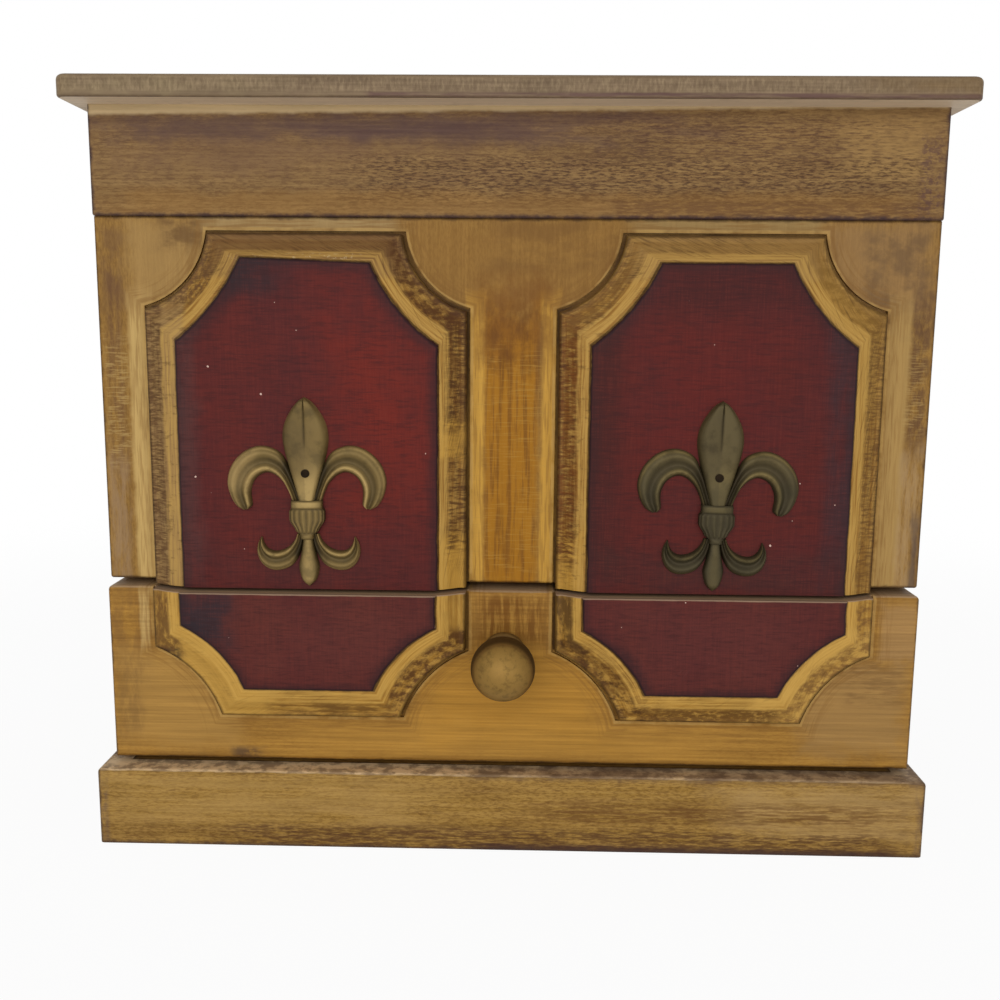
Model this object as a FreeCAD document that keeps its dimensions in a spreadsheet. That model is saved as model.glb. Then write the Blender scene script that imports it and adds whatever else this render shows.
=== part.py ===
import FreeCAD, Part

# Painted wooden jewelry box: a carcass on a plinth, a hinged lid, a drawer and a lift-out tray.
#
# +Z is up, +X is to the right of someone who faces the front, and the front faces -Y.
# The origin is under the middle of the whole box, knob included, on the surface it stands on.
# Sizes are in millimetres. Every driving size is a named cell of the sheet "Sizes".

import math
import os
import re

import Sketcher

SIZES = (
    # carcass
    ("case_width", 239.5, "side to side over the carcass and its front boards"),
    ("case_depth", 150.0, "face of the upper front board to the back of the back panel"),
    ("seam_height", 185.3, "top of the carcass, where the lid's rim sits"),
    ("split_height", 80.0, "underside of the upper front board and of the compartment floor"),
    ("side_board", 8.0, "thickness of the side panels"),
    ("back_board", 8.0, "thickness of the back panel"),
    ("front_board", 12.0, "thickness of the upper front board"),
    ("floor_board", 5.0, "thickness of the compartment floor"),
    ("edge_round", 0.8, "rounding of the painted boards' outer edges"),
    ("low_round", 1.4, "rounding of the plinth's and the drawer front's outer edges"),
    # plinth
    ("plinth_height", 23.4, "height of the plinth"),
    ("plinth_reach", 9.0, "how far the plinth stands in front of the upper front board"),
    ("plinth_lip", 3.6, "how far the plinth stands out beside the carcass"),
    ("plinth_board", 12.0, "thickness of the plinth boards"),
    ("base_board_thick", 6.0, "thickness of the board let into the plinth"),
    ("base_rebate", 4.0, "width of the step in the plinth that carries the base board"),
    # lid
    ("lid_side_reach", 5.25, "how far the top board stands out beside the carcass"),
    ("lid_thick", 6.2, "thickness of the lid's top board"),
    ("lid_front_reach", 10.6, "how far the top board stands in front of the carcass"),
    ("lid_back_reach", 6.0, "how far the top board stands out behind the carcass"),
    ("lid_nose", 1.6, "rounding of the top board's upper edges"),
    ("lid_arris", 0.8, "rounding of its lower edges"),
    ("lid_corner", 3.0, "rounding of the top board's corners seen from above"),
    ("rim_height", 30.4, "height of the lid's rim boards"),
    ("rim_board", 8.0, "thickness of the rim boards"),
    ("rim_proud", 0.3, "how far the rim stands proud of the carcass"),
    # mirror in the lid
    ("mirror_side_margin", 14.0, "distance of the glass from the rim's side boards"),
    ("mirror_end_margin", 19.0, "distance of the glass from the rim's front and back boards"),
    ("mirror_thick", 3.0, "thickness of the glass"),
    ("bead_width", 9.0, "width of the glazing bead beside the glass"),
    ("bead_lip", 2.0, "how far the bead covers the glass"),
    ("bead_lip_thick", 2.0, "thickness of the bead under the glass"),
    ("lining_thick", 1.0, "thickness of the velvet linings"),
    # carved plaques on the front
    ("plaque_width", 92.0, "width of a plaque"),
    ("plaque_centre", 59.2, "distance of a plaque's centre from the middle"),
    ("plaque_drop", 4.7, "distance of the upper plaques' top edge below the carcass top"),
    ("scoop_width", 18.4, "width of an upper plaque's scooped corners"),
    ("scoop_height", 21.2, "height of these corners"),
    ("scoop_radius", 25.0, "radius of their arcs"),
    ("field_scoop_width", 19.0, "width of the scooped corners of an upper field"),
    ("field_scoop_height", 22.2, "height of these corners"),
    ("field_scoop_radius", 53.0, "radius of their arcs"),
    ("plaque_seat", 1.5, "depth of the recess a plaque is glued into"),
    ("plaque_step", 3.2, "height of the plaque's outer edge above the board"),
    ("moulding_height", 6.3, "height of the moulding's inner edge above the board"),
    ("field_height", 7.5, "height of the field above the board"),
    ("moulding_width", 8.9, "width of the moulding round the field"),
    ("moulding_slope", 8.1, "width of the moulding's sloping part"),
    ("plaque_groove", 0.9, "gap left round a plaque in its recess"),
    ("field_bevel", 0.5, "bevel of the field's arris"),
    # drawer
    ("drawer_proud", 3.0, "how far the drawer front stands proud of the upper front board"),
    ("drawer_top_gap", 1.8, "gap above the drawer front"),
    ("drawer_base_gap", 1.5, "gap under the drawer front"),
    ("low_plaque_rise", 14.9, "height of the drawer plaques' bottom edge above the drawer front's"),
    ("low_scoop_width", 19.4, "width of the drawer plaques' scooped corners"),
    ("low_scoop_height", 20.9, "height of these corners"),
    ("low_scoop_radius", 33.0, "radius of their arcs"),
    ("low_field_scoop_width", 18.2, "width of the scooped corners of a drawer plaque's field"),
    ("low_field_scoop_height", 19.4, "height of these corners"),
    ("low_field_scoop_radius", 40.0, "radius of their arcs"),
    ("drawer_back_gap", 0.4, "gap behind the closed drawer"),
    ("drawer_board", 6.0, "thickness of the drawer's sides and back"),
    ("drawer_side_drop", 5.2, "distance of the drawer sides' top edges below the compartment floor"),
    ("drawer_back_drop", 1.8, "distance of the drawer back's top edge below the compartment floor"),
    ("drawer_side_gap", 0.8, "gap between a drawer side and the carcass"),
    ("drawer_bottom_thick", 3.0, "thickness of the drawer's bottom"),
    ("runner_height", 2.0, "height of the runners the drawer slides on"),
    ("runner_width", 8.0, "width of the runners"),
    ("divider_thick", 4.0, "thickness of the drawer's divider"),
    ("divider_height", 34.0, "height of the drawer's divider above the lining"),
    ("divider_offset", 34.0, "distance of the drawer's divider from the middle"),
    ("stop_setback", 20.0, "distance of the drawer stop behind the upper front board"),
    ("stop_width", 6.0, "width of the drawer stop, front to back"),
    ("stop_depth", 3.2, "how far the drawer stop hangs below the compartment floor"),
    # knob
    ("knob_rise", 34.4, "height of the knob's axis above the drawer front's lower edge"),
    ("knob_offset", 1.8, "distance of the knob's axis left of the middle"),
    ("knob_ball", 9.15, "radius of the knob's ball"),
    ("knob_reach", 15.0, "distance of the ball's centre from the drawer front"),
    ("knob_flange", 6.6, "radius of the knob's foot"),
    ("knob_flange_thick", 1.6, "thickness of the knob's foot"),
    ("knob_ring", 5.9, "radius of the ring on the knob's neck"),
    ("knob_ring_thick", 2.0, "thickness of the ring on the neck"),
    ("knob_ring_place", 3.6, "distance of the ring from the drawer front"),
    ("knob_neck", 4.6, "radius of the knob's neck"),
    ("screw_shank", 2.0, "radius of the knob screw's shank"),
    ("screw_hole", 2.1, "radius of the hole for it in the drawer front"),
    ("screw_grip", 8.0, "how deep the knob screw goes into the knob"),
    ("screw_head", 4.0, "radius of the knob screw's head"),
    ("screw_head_thick", 2.2, "thickness of the knob screw's head"),
    # brass lily ornaments
    ("lily_height", 54.2, "height of an ornament"),
    ("lily_rise", 0.4, "height of its lower tip above the upper front board's lower edge"),
    ("lily_centre", 58.6, "distance of its axis from the middle"),
    ("lily_thick", 2.4, "thickness of its petals"),
    ("lily_band_thick", 3.6, "thickness of its tie band"),
    ("lily_band_width", 9.8, "width of the tie band"),
    ("lily_band_height", 10.0, "height of the tie band"),
    ("lily_band_place", 20.2, "height of the band's middle above the lower tip"),
    ("lily_band_round", 0.8, "rounding of the tie band's front edges"),
    ("nail_place", 33.1, "height of the nail above the lower tip"),
    ("nail_shank", 0.7, "radius of the nail's shank"),
    ("nail_head", 1.2, "radius of the nail's head"),
    ("nail_head_thick", 0.7, "thickness of the nail's head"),
    ("nail_length", 8.0, "length of the nail under its head"),
    # upper compartment and tray
    ("ledge_width", 6.0, "width of the ledges that carry the tray"),
    ("ledge_height", 6.0, "height of the ledges"),
    ("tray_height", 32.0, "height of the tray"),
    ("tray_drop", 3.3, "distance of the tray's rim below the carcass top"),
    ("tray_board", 5.0, "thickness of the tray's sides"),
    ("tray_gap", 0.8, "gap between the tray and the carcass all round"),
    ("tray_bottom_thick", 3.0, "thickness of the tray's bottom"),
    ("tray_divider", 4.0, "thickness of the tray's dividers"),
    ("tray_divider_height", 22.0, "height of the tray's dividers above its lining"),
    ("tray_row", 58.0, "front to back width of the tray's front row"),
    ("cushion_width", 136.0, "width of the ring cushion"),
    ("cushion_lobes", 4, "number of rolls in the ring cushion"),
    ("cushion_web", 1.0, "height of the base above the rolls' axes"),
    ("cushion_gap", 0.3, "gap round the ring cushion"),
    ("cushion_base", 8.0, "height of the rolls' axes above the tray's lining"),
    # hinges
    ("hinge_inset", 47.75, "distance of a hinge's middle from the carcass's side"),
    ("hinge_length", 30.0, "length of a hinge"),
    ("leaf_thick", 1.0, "thickness of a hinge leaf"),
    ("leaf_height", 14.0, "height of a hinge leaf above or below the pin's axis"),
    ("leaf_relief", 0.3, "gap between a leaf and the other leaf's knuckle"),
    ("knuckle_radius", 2.0, "outer radius of the hinge knuckles"),
    ("knuckle_stand", 0.1, "gap between a knuckle and the back of the box"),
    ("knuckle_gap", 0.2, "gap between two knuckles along the pin"),
    ("pin_radius", 1.0, "radius of the hinge pin"),
    ("pin_clearance", 0.05, "running clearance of the lid leaf's knuckle round the pin"),
    ("heel_reach", 3.6, "how far the stop heel stands behind the pin's axis"),
    ("heel_thick", 1.8, "thickness of the stop heel"),
    ("heel_rise", 0.42, "height of the stop heel's top above the pin's axis"),
    ("wood_screw_head", 2.0, "radius of a hinge screw's head"),
    ("wood_screw_shank", 0.9, "radius of a hinge screw's shank"),
    ("wood_screw_length", 6.5, "length of a hinge screw in the wood"),
    ("wood_screw_pitch", 18.0, "distance between the two screws of a leaf"),
    ("wood_screw_place", 9.0, "distance of the screws from the pin's axis"),
)

# Places worked out from the sizes. Each is the text of an expression.
PLACES = {
    "front_face": "(knob_reach + knob_ball + drawer_proud - case_depth - lid_back_reach) / 2",
    "back_face": "front_face + case_depth",
    "plinth_face": "front_face - plinth_reach",
    "plinth_half": "case_width / 2 + plinth_lip",
    "inside_front": "front_face + front_board",
    "inside_back": "back_face - back_board",
    "inside_half": "case_width / 2 - side_board",
    "inside_depth": "inside_back - inside_front",
    "base_half": "plinth_half - plinth_board + base_rebate",
    "base_front": "plinth_face + plinth_board - base_rebate",
    "base_back": "back_face - plinth_board + base_rebate",
    "plaque_top": "seam_height - plaque_drop",
    "compartment_base": "split_height + floor_board",
    "rim_half": "case_width / 2 + rim_proud",
    "rim_face": "front_face - rim_proud",
    "lid_width": "case_width + 2 * lid_side_reach",
    "lid_base": "seam_height + rim_height",
    "mirror_front": "rim_face + rim_board + mirror_end_margin",
    "mirror_width": "2 * (rim_half - rim_board - mirror_side_margin)",
    "mirror_depth": "inside_back - mirror_end_margin - mirror_front",
    "glass_base": "lid_base - lining_thick - mirror_thick",
    "bead_base": "glass_base - bead_lip_thick",
    "drawer_face": "front_face - drawer_proud",
    "drawer_front_base": "plinth_height + drawer_base_gap",
    "drawer_front_top": "split_height - drawer_top_gap",
    "low_plaque_bottom": "drawer_front_base + low_plaque_rise",
    "knob_height": "drawer_front_base + knob_rise",
    "drawer_half": "inside_half - drawer_side_gap",
    "drawer_floor": "plinth_height + runner_height",
    "drawer_side_height": "split_height - drawer_side_drop - drawer_floor",
    "drawer_back_height": "split_height - drawer_back_drop - drawer_floor",
    "drawer_inner_half": "drawer_half - drawer_board",
    "drawer_length": "inside_depth - drawer_back_gap",
    "drawer_inner_depth": "drawer_length - drawer_board",
    "drawer_lining_base": "drawer_floor + drawer_bottom_thick",
    "drawer_lining_top": "drawer_lining_base + lining_thick",
    "lily_base": "split_height + lily_rise",
    "tray_top": "seam_height - tray_drop",
    "tray_base": "tray_top - tray_height",
    "tray_half": "inside_half - tray_gap",
    "tray_front_face": "inside_front + tray_gap",
    "tray_back_face": "inside_back - tray_gap",
    "tray_inner_half": "tray_half - tray_board",
    "tray_inner_front": "tray_front_face + tray_board",
    "tray_inner_depth": "tray_back_face - tray_front_face - 2 * tray_board",
    "tray_lining_base": "tray_base + tray_bottom_thick",
    "tray_lining_top": "tray_lining_base + lining_thick",
    "tray_row_end": "tray_inner_front + tray_row",
    "hinge_place": "case_width / 2 - hinge_inset",
    "pin_place": "back_face + knuckle_radius + knuckle_stand",
}

WORD = re.compile(r"[a-z]+(?:_[a-z]+)*")
SIDES = {"left": -1, "right": 1}
TOUCH = 1e-4

doc = FreeCAD.newDocument("jewelry_box")
sheet = doc.addObject("Spreadsheet::Sheet", "Sizes")
pieces = []


def fill_sheet():
    """Write every size into its own named cell."""
    for row, (alias, size, note) in enumerate(SIZES, start=1):
        sheet.set(f"A{row}", str(size))
        sheet.setAlias(f"A{row}", alias)
        sheet.set(f"B{row}", note)
    doc.recompute()


def size_of(alias):
    """The number in a named cell."""
    return float(getattr(sheet, alias))


def on_sheet(text):
    """Spell out the places in a formula and point its names at the sheet."""

    def spell(match):
        word = match.group()
        if word in PLACES:
            return "(" + on_sheet(PLACES[word]) + ")"
        return "Sizes." + word

    return WORD.sub(spell, text)


def bind(thing, formulas):
    """Tie properties of a document object to formulas over the sheet."""
    for path, text in formulas.items():
        thing.setExpression(path, on_sheet(text))


def place(thing, at, prefix="Placement"):
    """Tie the base of a placement to three formulas."""
    bind(thing, {f"{prefix}.Base.{axis}": text for axis, text in zip("xyz", at)})


def keep(thing, label):
    """Register a finished sub-part under the name of its file."""
    thing.Label = label
    pieces.append(thing)
    return thing


def touches(box, whole, side):
    """Whether an edge's bounding box lies in one outer face of the whole shape."""
    reach = {
        "left": box.XMax - whole.XMin,
        "right": whole.XMax - box.XMin,
        "front": box.YMax - whole.YMin,
        "back": whole.YMax - box.YMin,
        "base": box.ZMax - whole.ZMin,
        "top": whole.ZMax - box.ZMin,
    }
    return reach[side] < TOUCH


def edges_at(shape, corners):
    """Names of the edges that lie in both faces of any corner, such as 'front top'."""
    names = []
    for number, edge in enumerate(shape.Edges, start=1):
        box = edge.BoundBox
        if any(all(touches(box, shape.BoundBox, side) for side in corner.split()) for corner in corners):
            names.append(f"Edge{number}")
    return names


def round_corners(body, corners, radius):
    """Round edges of a body's last feature."""
    base = body.Tip
    fillet = body.newObject("PartDesign::Fillet", body.Name + "_round")
    fillet.Base = (base, edges_at(base.Shape, corners))
    bind(fillet, {"Radius": radius})
    doc.recompute()


def must_shrink(body, before):
    """Stop if a cut has left a body's volume as it was."""
    if body.Shape.Volume > before - TOUCH:
        raise ValueError(f"the last cut in {body.Name} takes nothing away")


def board(name, low, size, corners=(), radius="edge_round"):
    """A board as a body, from formulas for its low corner and its three sizes."""
    body = doc.addObject("PartDesign::Body", name)
    block = body.newObject("PartDesign::AdditiveBox", name + "_block")
    bind(block, dict(zip(("Length", "Width", "Height"), size)))
    place(body, low)
    doc.recompute()
    if corners:
        round_corners(body, corners, radius)
    return keep(body, name)


def cut_box(body, name, low, size):
    """Take a box away from a body, in the body's own frame."""
    before = body.Shape.Volume
    block = body.newObject("PartDesign::SubtractiveBox", name)
    bind(block, dict(zip(("Length", "Width", "Height"), size)))
    place(block, low)
    doc.recompute()
    must_shrink(body, before)


def origin_plane(body, role):
    """One of a body's own origin planes."""
    return next(item for item in body.Origin.OriginFeatures if item.Role == role)


def scoop_of(name):
    """Formulas of the width, height and arc radius of a kind of scooped corner."""
    return [f"{name}_{measure}" for measure in ("width", "height", "radius")]


def scooped_sketch(body, name, outline, scoop, inset):
    """Sketch a rectangle with scooped upper corners, standing on the sketch's X axis.

    outline holds the formulas of width and height, and scoop names the kind of corner.
    inset moves every side except the base inwards.
    """
    width, height = outline
    scoop_width, scoop_height, scoop_radius = scoop_of(scoop)
    sketch = body.newObject("Sketcher::SketchObject", name)
    sketch.AttachmentSupport = [(origin_plane(body, "XZ_Plane"), "")]
    sketch.MapMode = "FlatFace"
    half = size_of("plaque_width") / 2
    top = 2 * half
    wide, tall, bend = [size_of(measure) for measure in (scoop_width, scoop_height, scoop_radius)]
    foot = FreeCAD.Vector(half, 0, 0)
    shoulder = FreeCAD.Vector(half, top - tall, 0)
    crown = FreeCAD.Vector(half - wide, top, 0)
    chord = crown - shoulder
    outwards = FreeCAD.Vector(chord.y, -chord.x, 0).normalize()
    corner = (shoulder + crown) / 2 + outwards * math.sqrt(bend**2 - (chord.Length / 2)**2)
    other = FreeCAD.Vector(-corner.x, corner.y, 0)
    axis = FreeCAD.Vector(0, 0, 1)
    start_angle = math.atan2(crown.y - corner.y, crown.x - corner.x)
    end_angle = math.atan2(shoulder.y - corner.y, shoulder.x - corner.x)
    mirrored = [FreeCAD.Vector(-point.x, point.y, 0) for point in (foot, shoulder, crown)]
    sketch.addGeometry([
        Part.LineSegment(mirrored[0], foot),
        Part.LineSegment(foot, shoulder),
        Part.ArcOfCircle(Part.Circle(corner, axis, bend), start_angle, end_angle),
        Part.LineSegment(crown, mirrored[2]),
        Part.ArcOfCircle(Part.Circle(other, axis, bend), math.pi - end_angle, math.pi - start_angle),
        Part.LineSegment(mirrored[1], mirrored[0]),
    ], False)
    base, right, right_scoop, lid, left_scoop, left = range(6)
    start, end, centre = 1, 2, 3
    origin_point = (-1, 1)
    upright_axis = -2
    ledge = 2 * crown.x
    rule = Sketcher.Constraint
    sketch.addConstraint([
        rule("Coincident", base, end, right, start),
        rule("Coincident", right, end, right_scoop, end),
        rule("Coincident", right_scoop, start, lid, start),
        rule("Coincident", lid, end, left_scoop, end),
        rule("Coincident", left_scoop, start, left, start),
        rule("Coincident", left, end, base, start),
        rule("Horizontal", base),
        rule("Horizontal", lid),
        rule("Vertical", right),
        rule("Vertical", left),
        rule("Symmetric", base, start, base, end, *origin_point),
        rule("Symmetric", left_scoop, centre, right_scoop, centre, upright_axis),
        rule("Equal", left_scoop, right_scoop),
    ])
    sized = {
        "breadth": (rule("DistanceX", base, start, base, end, 2 * half), f"{width} - 2 * ({inset})"),
        "rise": (rule("DistanceY", base, end, lid, start, top), f"{height} - ({inset})"),
        "ledge": (rule("DistanceX", lid, end, lid, start, ledge),
                  f"{width} - 2 * ({inset}) - 2 * {scoop_width}"),
        "shoulder": (rule("DistanceY", right, start, right, end, shoulder.y),
                     f"{height} - ({inset}) - {scoop_height}"),
        "bend": (rule("Radius", right_scoop, bend), scoop_radius),
    }
    for label, (constraint, text) in sized.items():
        sketch.renameConstraint(sketch.addConstraint(constraint), label)
        sketch.setExpression("Constraints." + label, on_sheet(text))
    doc.recompute()
    return sketch


def pad(body, sketch, name, length):
    """Pad a sketch of the XZ plane forwards, towards -Y."""
    feature = body.newObject("PartDesign::Pad", name)
    feature.Profile = sketch
    bind(feature, {"Length": length})
    doc.recompute()
    return feature


def recess(body, name, outline, scoop, at, turned):
    """Cut the seat of a plaque, a groove wider than the plaque, into a board's front."""
    before = body.Shape.Volume
    sketch = scooped_sketch(body, name + "_outline", outline, scoop, "-plaque_groove")
    turn = 180 if turned else 0
    sketch.AttachmentOffset = FreeCAD.Placement(
        FreeCAD.Vector(), FreeCAD.Rotation(FreeCAD.Vector(0, 0, 1), turn))
    place(sketch, (at[0], at[1], "0"), "AttachmentOffset")
    pocket = body.newObject("PartDesign::Pocket", name)
    pocket.Profile = sketch
    bind(pocket, {"Length": "plaque_seat"})
    doc.recompute()
    must_shrink(body, before)


def front_edges(shape):
    """Edges of a plaque's foremost face, without the one along its sawn base."""
    names = []
    for number, edge in enumerate(shape.Edges, start=1):
        box = edge.BoundBox
        in_front = box.YMax < shape.BoundBox.YMin + TOUCH
        if in_front and not touches(box, shape.BoundBox, "base"):
            names.append(f"Edge{number}")
    return names


def plaque(name, outline, scoops, at, turned):
    """A carved plaque: a moulding that slopes up from a step, round a raised field."""
    body = doc.addObject("PartDesign::Body", name)
    outer_scoop, inner_scoop = scoops
    rim = scooped_sketch(body, name + "_outline", outline, outer_scoop, "0")
    pad(body, rim, name + "_step", "plaque_seat + plaque_step")
    slope = body.newObject("PartDesign::AdditiveLoft", name + "_slope")
    slope.Ruled = True
    low = scooped_sketch(body, name + "_slope_foot", outline, outer_scoop, "0")
    high = scooped_sketch(body, name + "_slope_crest", outline, inner_scoop, "moulding_slope")
    bind(low, {"AttachmentOffset.Base.z": "plaque_seat + plaque_step"})
    bind(high, {"AttachmentOffset.Base.z": "plaque_seat + moulding_height"})
    slope.Profile = low
    slope.Sections = [high]
    doc.recompute()
    inner = scooped_sketch(body, name + "_field_outline", outline, inner_scoop, "moulding_width")
    field = pad(body, inner, name + "_field", "plaque_seat + field_height")
    arris = body.newObject("PartDesign::Chamfer", name + "_arris")
    arris.Base = (field, front_edges(field.Shape))
    bind(arris, {"Size": "field_bevel"})
    turn = 180 if turned else 0
    body.Placement = FreeCAD.Placement(
        FreeCAD.Vector(), FreeCAD.Rotation(FreeCAD.Vector(0, 1, 0), turn))
    place(body, at)
    doc.recompute()
    return keep(body, name)


def make_plinth():
    """Four plinth boards round a base board that lies in a step along their inner edges."""
    low = {
        "front": ("-(plinth_half)", "plinth_face", "0"),
        "back": ("-(plinth_half)", "back_face - plinth_board", "0"),
        "left": ("-(plinth_half)", "plinth_face + plinth_board", "0"),
        "right": ("plinth_half - plinth_board", "plinth_face + plinth_board", "0"),
    }
    long_size = ("2 * plinth_half", "plinth_board", "plinth_height")
    short_size = ("plinth_board", "back_face - plinth_face - 2 * plinth_board", "plinth_height")
    corners = {
        "front": ("front top", "left top", "right top", "left front", "right front"),
        "back": ("left top", "right top"),
        "left": ("left top",),
        "right": ("right top",),
    }
    base_low = ("-(base_half)", "base_front", "plinth_height - base_board_thick")
    base_size = ("2 * base_half", "base_back - base_front", "base_board_thick")
    for side, at in low.items():
        size = long_size if side in ("front", "back") else short_size
        body = board("plinth_" + side, at, size, corners[side], "low_round")
        local = [f"{base} - ({own})" for base, own in zip(base_low, at)]
        cut_box(body, f"plinth_{side}_step", local, base_size)
    board("base_board", base_low, base_size)


def make_carcass():
    """Side panels, back, compartment floor, and what the drawer and tray run or rest on."""
    wall = "seam_height - plinth_height"
    for side, sign in SIDES.items():
        outer = "case_width / 2" if sign > 0 else "-case_width / 2"
        inner = "inside_half" if sign > 0 else "-(inside_half)"
        low_x = inner if sign > 0 else outer
        board("side_panel_" + side, (low_x, "inside_front", "plinth_height"),
              ("side_board", "back_face - inside_front", wall),
              (side + " back", side + " top"), "edge_round / 2")
        runner_x = f"{inner} - runner_width" if sign > 0 else inner
        board("drawer_runner_" + side, (runner_x, "inside_front", "plinth_height"),
              ("runner_width", "inside_depth", "runner_height"))
        ledge_x = f"{inner} - ledge_width" if sign > 0 else inner
        board("tray_ledge_" + side, (ledge_x, "inside_front", "tray_base - ledge_height"),
              ("ledge_width", "inside_depth", "ledge_height"))
    left = "-(inside_half)"
    width = "2 * inside_half"
    board("back_panel", (left, "inside_back", "plinth_height"), (width, "back_board", wall))
    board("compartment_floor", (left, "inside_front", "split_height"), (width, "inside_depth", "floor_board"))
    board("compartment_lining", (left, "inside_front", "compartment_base"),
          (width, "inside_depth", "lining_thick"))
    board("drawer_stop", (left, "inside_front + stop_setback", "split_height - stop_depth"),
          (width, "stop_width", "stop_depth"))


def make_upper_front():
    """The fixed front board and its two plaques, which the drawer front carries on below."""
    body = board("upper_front", ("-case_width / 2", "front_face", "split_height"),
                 ("case_width", "front_board", "seam_height - split_height"),
                 ("left front", "right front", "front top", "front base", "left base", "right base"))
    outline = ("plaque_width", "(plaque_top - split_height)")
    scoops = ("scoop", "field_scoop")
    for side, sign in SIDES.items():
        middle = f"{sign} * plaque_centre"
        seat = (middle, "front_face + plaque_seat", "split_height")
        recess(body, f"upper_recess_{side}", outline, scoops[0], (f"{middle} + case_width / 2", "0"), False)
        plaque(f"upper_plaque_{side}", outline, scoops, seat, False)


def make_drawer():
    """The drawer: front board with two plaques, sides, back, bottom, lining and divider."""
    front_height = "(drawer_front_top - drawer_front_base)"
    body = board("drawer_front", ("-case_width / 2", "drawer_face", "drawer_front_base"),
                 ("case_width", "front_board + drawer_proud", front_height),
                 ("left front", "right front", "front top", "front base", "left top", "right top"),
                 "low_round")
    outline = ("plaque_width", "(drawer_front_top - low_plaque_bottom)")
    scoops = ("low_scoop", "low_field_scoop")
    for side, sign in SIDES.items():
        middle = f"{sign} * plaque_centre"
        base = (f"{middle} + case_width / 2", front_height)
        recess(body, f"drawer_recess_{side}", outline, scoops[0], base, True)
        seat = (middle, "drawer_face + plaque_seat", "drawer_front_top")
        plaque(f"drawer_plaque_{side}", outline, scoops, seat, True)
    hole = body.newObject("PartDesign::SubtractiveCylinder", "knob_screw_hole")
    hole.Placement.Rotation = FreeCAD.Rotation(FreeCAD.Vector(1, 0, 0), -90)
    bind(hole, {"Radius": "screw_hole", "Height": "front_board + drawer_proud"})
    place(hole, ("case_width / 2 - knob_offset", "0", "knob_height - drawer_front_base"))
    doc.recompute()

    for side, sign in SIDES.items():
        low_x = "drawer_inner_half" if sign > 0 else "-(drawer_half)"
        board("drawer_side_" + side, (low_x, "inside_front", "drawer_floor"),
              ("drawer_board", "drawer_length", "drawer_side_height"))
    across = "2 * drawer_inner_half"
    board("drawer_back", ("-(drawer_inner_half)", "inside_front + drawer_inner_depth", "drawer_floor"),
          (across, "drawer_board", "drawer_back_height"))
    board("drawer_bottom", ("-(drawer_inner_half)", "inside_front", "drawer_floor"),
          (across, "drawer_inner_depth", "drawer_bottom_thick"))
    board("drawer_lining", ("-(drawer_inner_half)", "inside_front", "drawer_lining_base"),
          (across, "drawer_inner_depth", "lining_thick"))
    board("drawer_divider", ("divider_offset - divider_thick / 2", "inside_front", "drawer_lining_top"),
          ("divider_thick", "drawer_inner_depth", "divider_height"))


def stack(body, kind, name, at, sizes):
    """Add a round primitive to a body at a height along the body's own Z axis."""
    feature = body.newObject("PartDesign::" + kind, name)
    bind(feature, sizes)
    bind(feature, {"Placement.Base.z": at})
    doc.recompute()


def make_knob():
    """The ball knob on its stepped neck, and the screw that holds it from inside the drawer."""
    forwards = FreeCAD.Rotation(FreeCAD.Vector(1, 0, 0), 90)
    knob = doc.addObject("PartDesign::Body", "drawer_knob")
    stack(knob, "AdditiveCylinder", "knob_foot", "0",
          {"Radius": "knob_flange", "Height": "knob_flange_thick"})
    stack(knob, "AdditiveCylinder", "knob_neck_core", "0",
          {"Radius": "knob_neck", "Height": "knob_reach"})
    stack(knob, "AdditiveTorus", "knob_neck_ring", "knob_ring_place",
          {"Radius1": "knob_ring - knob_ring_thick / 2", "Radius2": "knob_ring_thick / 2"})
    stack(knob, "AdditiveSphere", "knob_head", "knob_reach", {"Radius": "knob_ball"})
    stack(knob, "SubtractiveCylinder", "knob_bore", "0",
          {"Radius": "screw_shank", "Height": "screw_grip"})
    knob.Placement.Rotation = forwards
    place(knob, ("-knob_offset", "drawer_face", "knob_height"))
    keep(knob, "drawer_knob")

    screw = doc.addObject("PartDesign::Body", "knob_screw")
    stack(screw, "AdditiveCylinder", "knob_screw_shank", "0",
          {"Radius": "screw_shank", "Height": "front_board + drawer_proud + screw_grip"})
    stack(screw, "AdditiveCylinder", "knob_screw_head", "-screw_head_thick",
          {"Radius": "screw_head", "Height": "screw_head_thick"})
    screw.Placement.Rotation = forwards
    place(screw, ("-knob_offset", "inside_front", "knob_height"))
    keep(screw, "knob_screw")


def make_lid():
    """The lid: top board with rounded edges on a deep rim, lined inside."""
    outer = ("left front", "right front", "left back", "right back")
    body = board("lid_top", ("-lid_width / 2", "front_face - lid_front_reach", "lid_base"),
                 ("lid_width", "case_depth + lid_front_reach + lid_back_reach", "lid_thick"),
                 outer, "lid_corner")
    for side, radius in (("top", "lid_nose"), ("base", "lid_arris")):
        slab = body.Tip
        flat = slab.Shape.BoundBox
        nose = body.newObject("PartDesign::Fillet", "lid_top_edge_" + side)
        nose.Base = (slab, [
            f"Edge{number}" for number, edge in enumerate(slab.Shape.Edges, start=1)
            if touches(edge.BoundBox, flat, side)
        ])
        bind(nose, {"Radius": radius})
        doc.recompute()

    rim = "rim_height"
    board("rim_front", ("-(rim_half)", "rim_face", "seam_height"), ("2 * rim_half", "rim_board", rim),
          ("left front", "right front", "front base", "left base", "right base"))
    board("rim_back", ("-(rim_half)", "inside_back", "seam_height"), ("2 * rim_half", "back_board", rim),
          ("left back", "right back", "back base"), "edge_round / 2")
    for side, sign in SIDES.items():
        low_x = "rim_half - rim_board" if sign > 0 else "-(rim_half)"
        board("rim_" + side, (low_x, "rim_face + rim_board", "seam_height"),
              ("rim_board", "inside_back - rim_face - rim_board", rim), (side + " base",))
    board("lid_lining", ("rim_board - rim_half", "rim_face + rim_board", "lid_base - lining_thick"),
          ("2 * (rim_half - rim_board)", "inside_back - rim_face - rim_board", "lining_thick"))


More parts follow.
